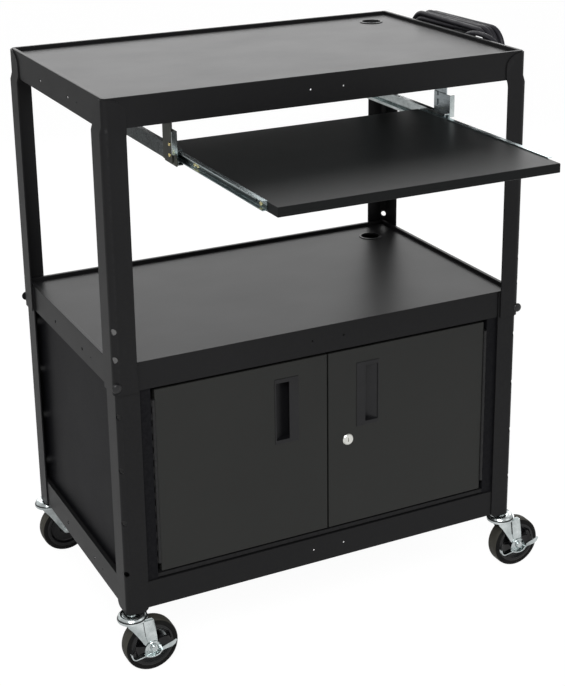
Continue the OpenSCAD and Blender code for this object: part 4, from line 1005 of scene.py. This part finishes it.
def scatter_tree():
    """Geometry tree: sets a template on points, each turned to its own direction."""
    inputs = {"Template": "Object", "Size": "Float", "Turn Seed": "Int"}
    tree, given, out = geometry_tree("set_on_points", inputs)
    info, aim, align, chance, twist, spin, place = add_nodes(
        tree, "GeometryNodeObjectInfo", "GeometryNodeInputNamedAttribute",
        "FunctionNodeAlignRotationToVector", "FunctionNodeRandomValue", "FunctionNodeRotateRotation",
        "FunctionNodeAxisAngleToRotation", "GeometryNodeInstanceOnPoints")
    aim.data_type = "FLOAT_VECTOR"
    aim.inputs["Name"].default_value = "aim"
    align.axis = "Z"
    twist.rotation_space = "LOCAL"
    chance.data_type = "FLOAT"
    chance.inputs[3].default_value = HALF_TURN
    wire(tree, (given, "Geometry", place, "Points"), (given, "Template", info, "Object"),
         (info, "Geometry", place, "Instance"), (aim, 0, align, "Vector"),
         (given, "Turn Seed", chance, "Seed"), (chance, 1, spin, "Angle"),
         (align, "Rotation", twist, "Rotation"), (spin, "Rotation", twist, "Rotate By"),
         (twist, "Rotation", place, "Rotation"), (given, "Size", place, "Scale"))
    return finish_tree(tree, given, out, place, "Instances")


def set_heads(name, places, template, tree, key, body, slot, *replaced):
    """Bakes one mesh of heads on a body; places are (point in metres, direction)."""
    mesh = bpy.data.meshes.new(name + "_points")
    mesh.from_pydata([tuple(p) for p, _ in places], [], [])
    aim = mesh.attributes.new("aim", "FLOAT_VECTOR", "POINT")
    for i, (_, way) in enumerate(places):
        aim.data[i].vector = way
    inputs = {"Template": template, "Size": 1.0, "Turn Seed": TWIST_SEED, "Finish": FINISHES[key]}
    piece = bake_tree(add_object(name + "_points", mesh), tree, inputs, name)
    smooth_faces(piece.data, 30)
    dress(piece, body, slot, key, *replaced)


def bolt_places():
    """Foot and direction of each leg bolt's head, outward from its leg."""
    places = []
    for low, high in loose_boxes("leg_bolts"):
        middle, size = (low + high) / 2, high - low
        along = min((0, 1), key=lambda i: size[i])
        sign = 1 if middle[along] > 0 else -1
        way = Vector((0, 0, 0))
        way[along] = sign
        middle[along] = (high if sign > 0 else low)[along] - sign * BOLT_H * MM
        places.append((middle, way))
    return places


def runner_screw_places():
    places = []
    for low, high in loose_boxes("runner_screws"):
        middle = (low + high) / 2
        sign = 1 if middle.x > 0 else -1
        outer = high.x if sign > 0 else low.x
        places.append((Vector((outer - sign * SCREW_H * MM, middle.y, middle.z)), Vector((sign, 0, 0))))
    return places


def hanger_screw_places():
    low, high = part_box("slide_hangers")
    rail_low, rail_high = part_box("slide_rail_left")
    slide_z = (rail_low[2] + rail_high[2]) / 2
    places = []
    for sign in (-1, 1):
        for y in (low[1] + HANGER_FRONT * MM, high[1] - HANGER_BACK * MM):
            for z in (slide_z, slide_z + HANGER_PITCH * MM):
                places.append((Vector((sign * high[0], y, z)), Vector((sign, 0, 0))))
    return places


def screws():
    tree = scatter_tree()
    bolt = head_template("bolt_head", BOLT_R, BOLT_H, False)
    set_heads("leg_bolt_heads", bolt_places(), bolt, tree, "black_oxide",
              "upper_frame", "black_steel", "leg_bolts")
    head = head_template("brass_head", SCREW_R, SCREW_H, True)
    set_heads("runner_screw_heads", runner_screw_places(), head, tree, "yellow_zinc",
              "keyboard_shelf", "brass")
    set_heads("hanger_screw_heads", hanger_screw_places(), head, tree, "yellow_zinc",
              "upper_frame", "brass")
    for template in (bolt, head):
        bpy.data.objects.remove(template)


# Studio

# Half width, front, back, height and bend of the paper sweep, in metres
SWEEP_W, SWEEP_FRONT, SWEEP_BACK, SWEEP_H, SWEEP_BEND = 11.0, -8.0, 7.0, 10.0, 2.5
GLOW_STRENGTH, GLOW_SHARE = 1.07, 0.9

# The sweep's mirrored glow falls from 1 to this share behind the cart and is whole again up the wall
BACK_GLOW = 0.12
WORLD_MIRRORED, WORLD_BASE = 0.4, 0.3

# Place, target and size in metres, and power in watts
LAMPS = {
    "key_light": ((-1.6, -2.8, 3.1), (0, 0, 0.5), (1.8, 1.8), 98.0),
    "fill_light": ((2.6, -2.6, 1.6), (0, 0, 0.5), (2.0, 2.0), 9.0),
    "back_light": ((1.0, 2.85, 2.1), (0, 0, 1.0), (4.2, 1.5), 34.0)}


def sweep_mesh():
    """Floor that bends up into a wall behind the cart."""
    mesh = bpy.data.meshes.new("studio_floor")
    bm = bmesh.new()
    outline = [(SWEEP_FRONT, 0.0)]
    for k in range(17):
        a = math.radians(90 * k / 16)
        outline.append((SWEEP_BACK - SWEEP_BEND + SWEEP_BEND * math.sin(a),
                        SWEEP_BEND - SWEEP_BEND * math.cos(a)))
    outline.append((SWEEP_BACK, SWEEP_H))
    rows = [[bm.verts.new((x, y, z)) for x in (-SWEEP_W, SWEEP_W)] for y, z in outline]
    for low, high in zip(rows, rows[1:]):
        bm.faces.new((low[0], low[1], high[1], high[0]))
    bm.to_mesh(mesh)
    bm.free()
    for face in mesh.polygons:
        face.use_smooth = True
    return mesh


def seen_rays(tree, paths, mirrored):
    """Rays that see the white: from the camera, through glass, and a share of the mirrored ones."""
    passed = maths(tree, "MAXIMUM", mirrored, paths.outputs["Is Transmission Ray"])
    return maths(tree, "MAXIMUM", paths.outputs["Is Camera Ray"], passed)


def paper_sweep():
    """Matt paper that glows white for the camera and less in reflections behind the cart."""
    material, tree, shader, place = finish("paper_sweep", 0.9, specular=0.1)
    shader.inputs["Base Color"].default_value = (0.86, 0.86, 0.86, 1)
    paths, glow, mixer, parts = add_nodes(tree, "ShaderNodeLightPath", "ShaderNodeEmission",
                                          "ShaderNodeMixShader", "ShaderNodeSeparateXYZ")
    glow.inputs["Strength"].default_value = GLOW_STRENGTH
    feed(tree, place, parts.inputs[0])
    along_floor = mapped(tree, parts.outputs["Y"], -0.9, 0.2, 1.0, BACK_GLOW)
    up_wall = mapped(tree, parts.outputs["Z"], 0.3, 1.4)
    pale = maths(tree, "MAXIMUM", along_floor, up_wall)
    mirrored = maths(tree, "MULTIPLY", paths.outputs["Is Glossy Ray"], pale)
    share = maths(tree, "MULTIPLY", seen_rays(tree, paths, mirrored), GLOW_SHARE)
    feed(tree, share, mixer.inputs[0])
    wire(tree, (shader, 0, mixer, 1), (glow, 0, mixer, 2),
         (mixer, 0, tree.nodes["Material Output"], "Surface"))
    return material


def studio_world():
    world = bpy.data.worlds.new("studio_world")
    bpy.context.scene.world = world
    world.use_nodes = True
    tree = world.node_tree
    background = tree.nodes["Background"]
    background.inputs["Color"].default_value = (1, 1, 1, 1)
    paths = tree.nodes.new("ShaderNodeLightPath")
    mirrored = maths(tree, "MULTIPLY", paths.outputs["Is Glossy Ray"], WORLD_MIRRORED)
    strength = mapped(tree, seen_rays(tree, paths, mirrored), 0.0, 1.0, WORLD_BASE, 1.0)
    feed(tree, strength, background.inputs["Strength"])


def studio():
    floor = add_object("studio_floor", sweep_mesh())
    floor.data.materials.append(paper_sweep())
    studio_world()
    for name, (place, target, size, power) in LAMPS.items():
        data = bpy.data.lights.new(name, "AREA")
        data.shape = "RECTANGLE"
        data.size, data.size_y = size
        data.energy = power
        lamp = add_object(name, data)
        lamp.location = place
        lamp.rotation_euler = (Vector(target) - Vector(place)).to_track_quat("-Z", "Y").to_euler()


# Scene

# Depth of the carriers' outer faces, which are painted light as a highlight, in millimetres from their widest
# point
CARRIER_FACE = 7.6


def slide_brackets():
    """Hangers and carriers of one zinc, painted light on the right and on the carriers' outer faces, and
    painted dark as shade on the left.
    """
    hangers = rounded_node("slide_hangers", SHEET_EASE, "dull_zinc")
    hangers.data.materials.append(FINISHES["zinc_plate"])
    # Painted light: the right hangers take the brighter zinc, and the left ones keep the dark copy as shade
    for face in hangers.data.polygons:
        face.material_index = int(face.center.x > 0)
    carriers = rounded_node("slide_carriers", CARRIER_EASE, "dull_zinc")
    carriers.data.materials.append(FINISHES["caster_zinc"])
    carriers.data.materials.append(FINISHES["zinc_plate"])
    face_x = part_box("slide_carriers")[1][0] - CARRIER_FACE * MM
    # Painted highlight on the carriers' outer faces and painted light on the right, while the left keep the
    # dark copy as shade
    for face in carriers.data.polygons:
        if abs(face.center.x) > face_x:
            face.material_index = 1
        elif face.center.x > 0:
            face.material_index = 2


def main():
    studio_camera()
    make_finishes()
    paint_nodes()
    cord, route, length = power_cord()
    body, blades = mains_plug()
    gland = cord_gland()
    for node, rim_z in (("top_shelf", TOP_Z), ("middle_shelf", MIDDLE_Z), ("bottom_shelf", BOTTOM_Z)):
        rounded_node(node, SHEET_EASE, "frame_coat", first=rolled_rim(rim_z))
    for corner in CORNERS:
        rounded_node("upper_leg_" + corner, SHEET_EASE, "frame_coat")
        rounded_node("lower_leg_" + corner, SHEET_EASE, "frame_coat")
    for side in ("left", "right"):
        rounded_node("door_" + side, DOOR_EASE, "door_coat", steps=4)
    for side in ("left", "right"):
        rounded_node("pull_" + side, PULL_EASE, "grommet_plastic", steps=3)
    for corner in CORNERS:
        caster_fork(corner)
        axle_nuts(corner)
        wheel(corner)
    for side in ("left", "right"):
        brake_lever(side)
    screws()
    slide_brackets()
    rounded_node("keyboard_board", BOARD_EASE, "laminate", steps=3)
    for side in ("left", "right"):
        rounded_node("cabinet_side_" + side, PANEL_EASE, "panel_coat")
    rounded_node("cabinet_sill", PANEL_EASE, "frame_coat")
    studio()


main()
scene_settings = bpy.context.scene.view_settings
scene_settings.view_transform = "Standard"
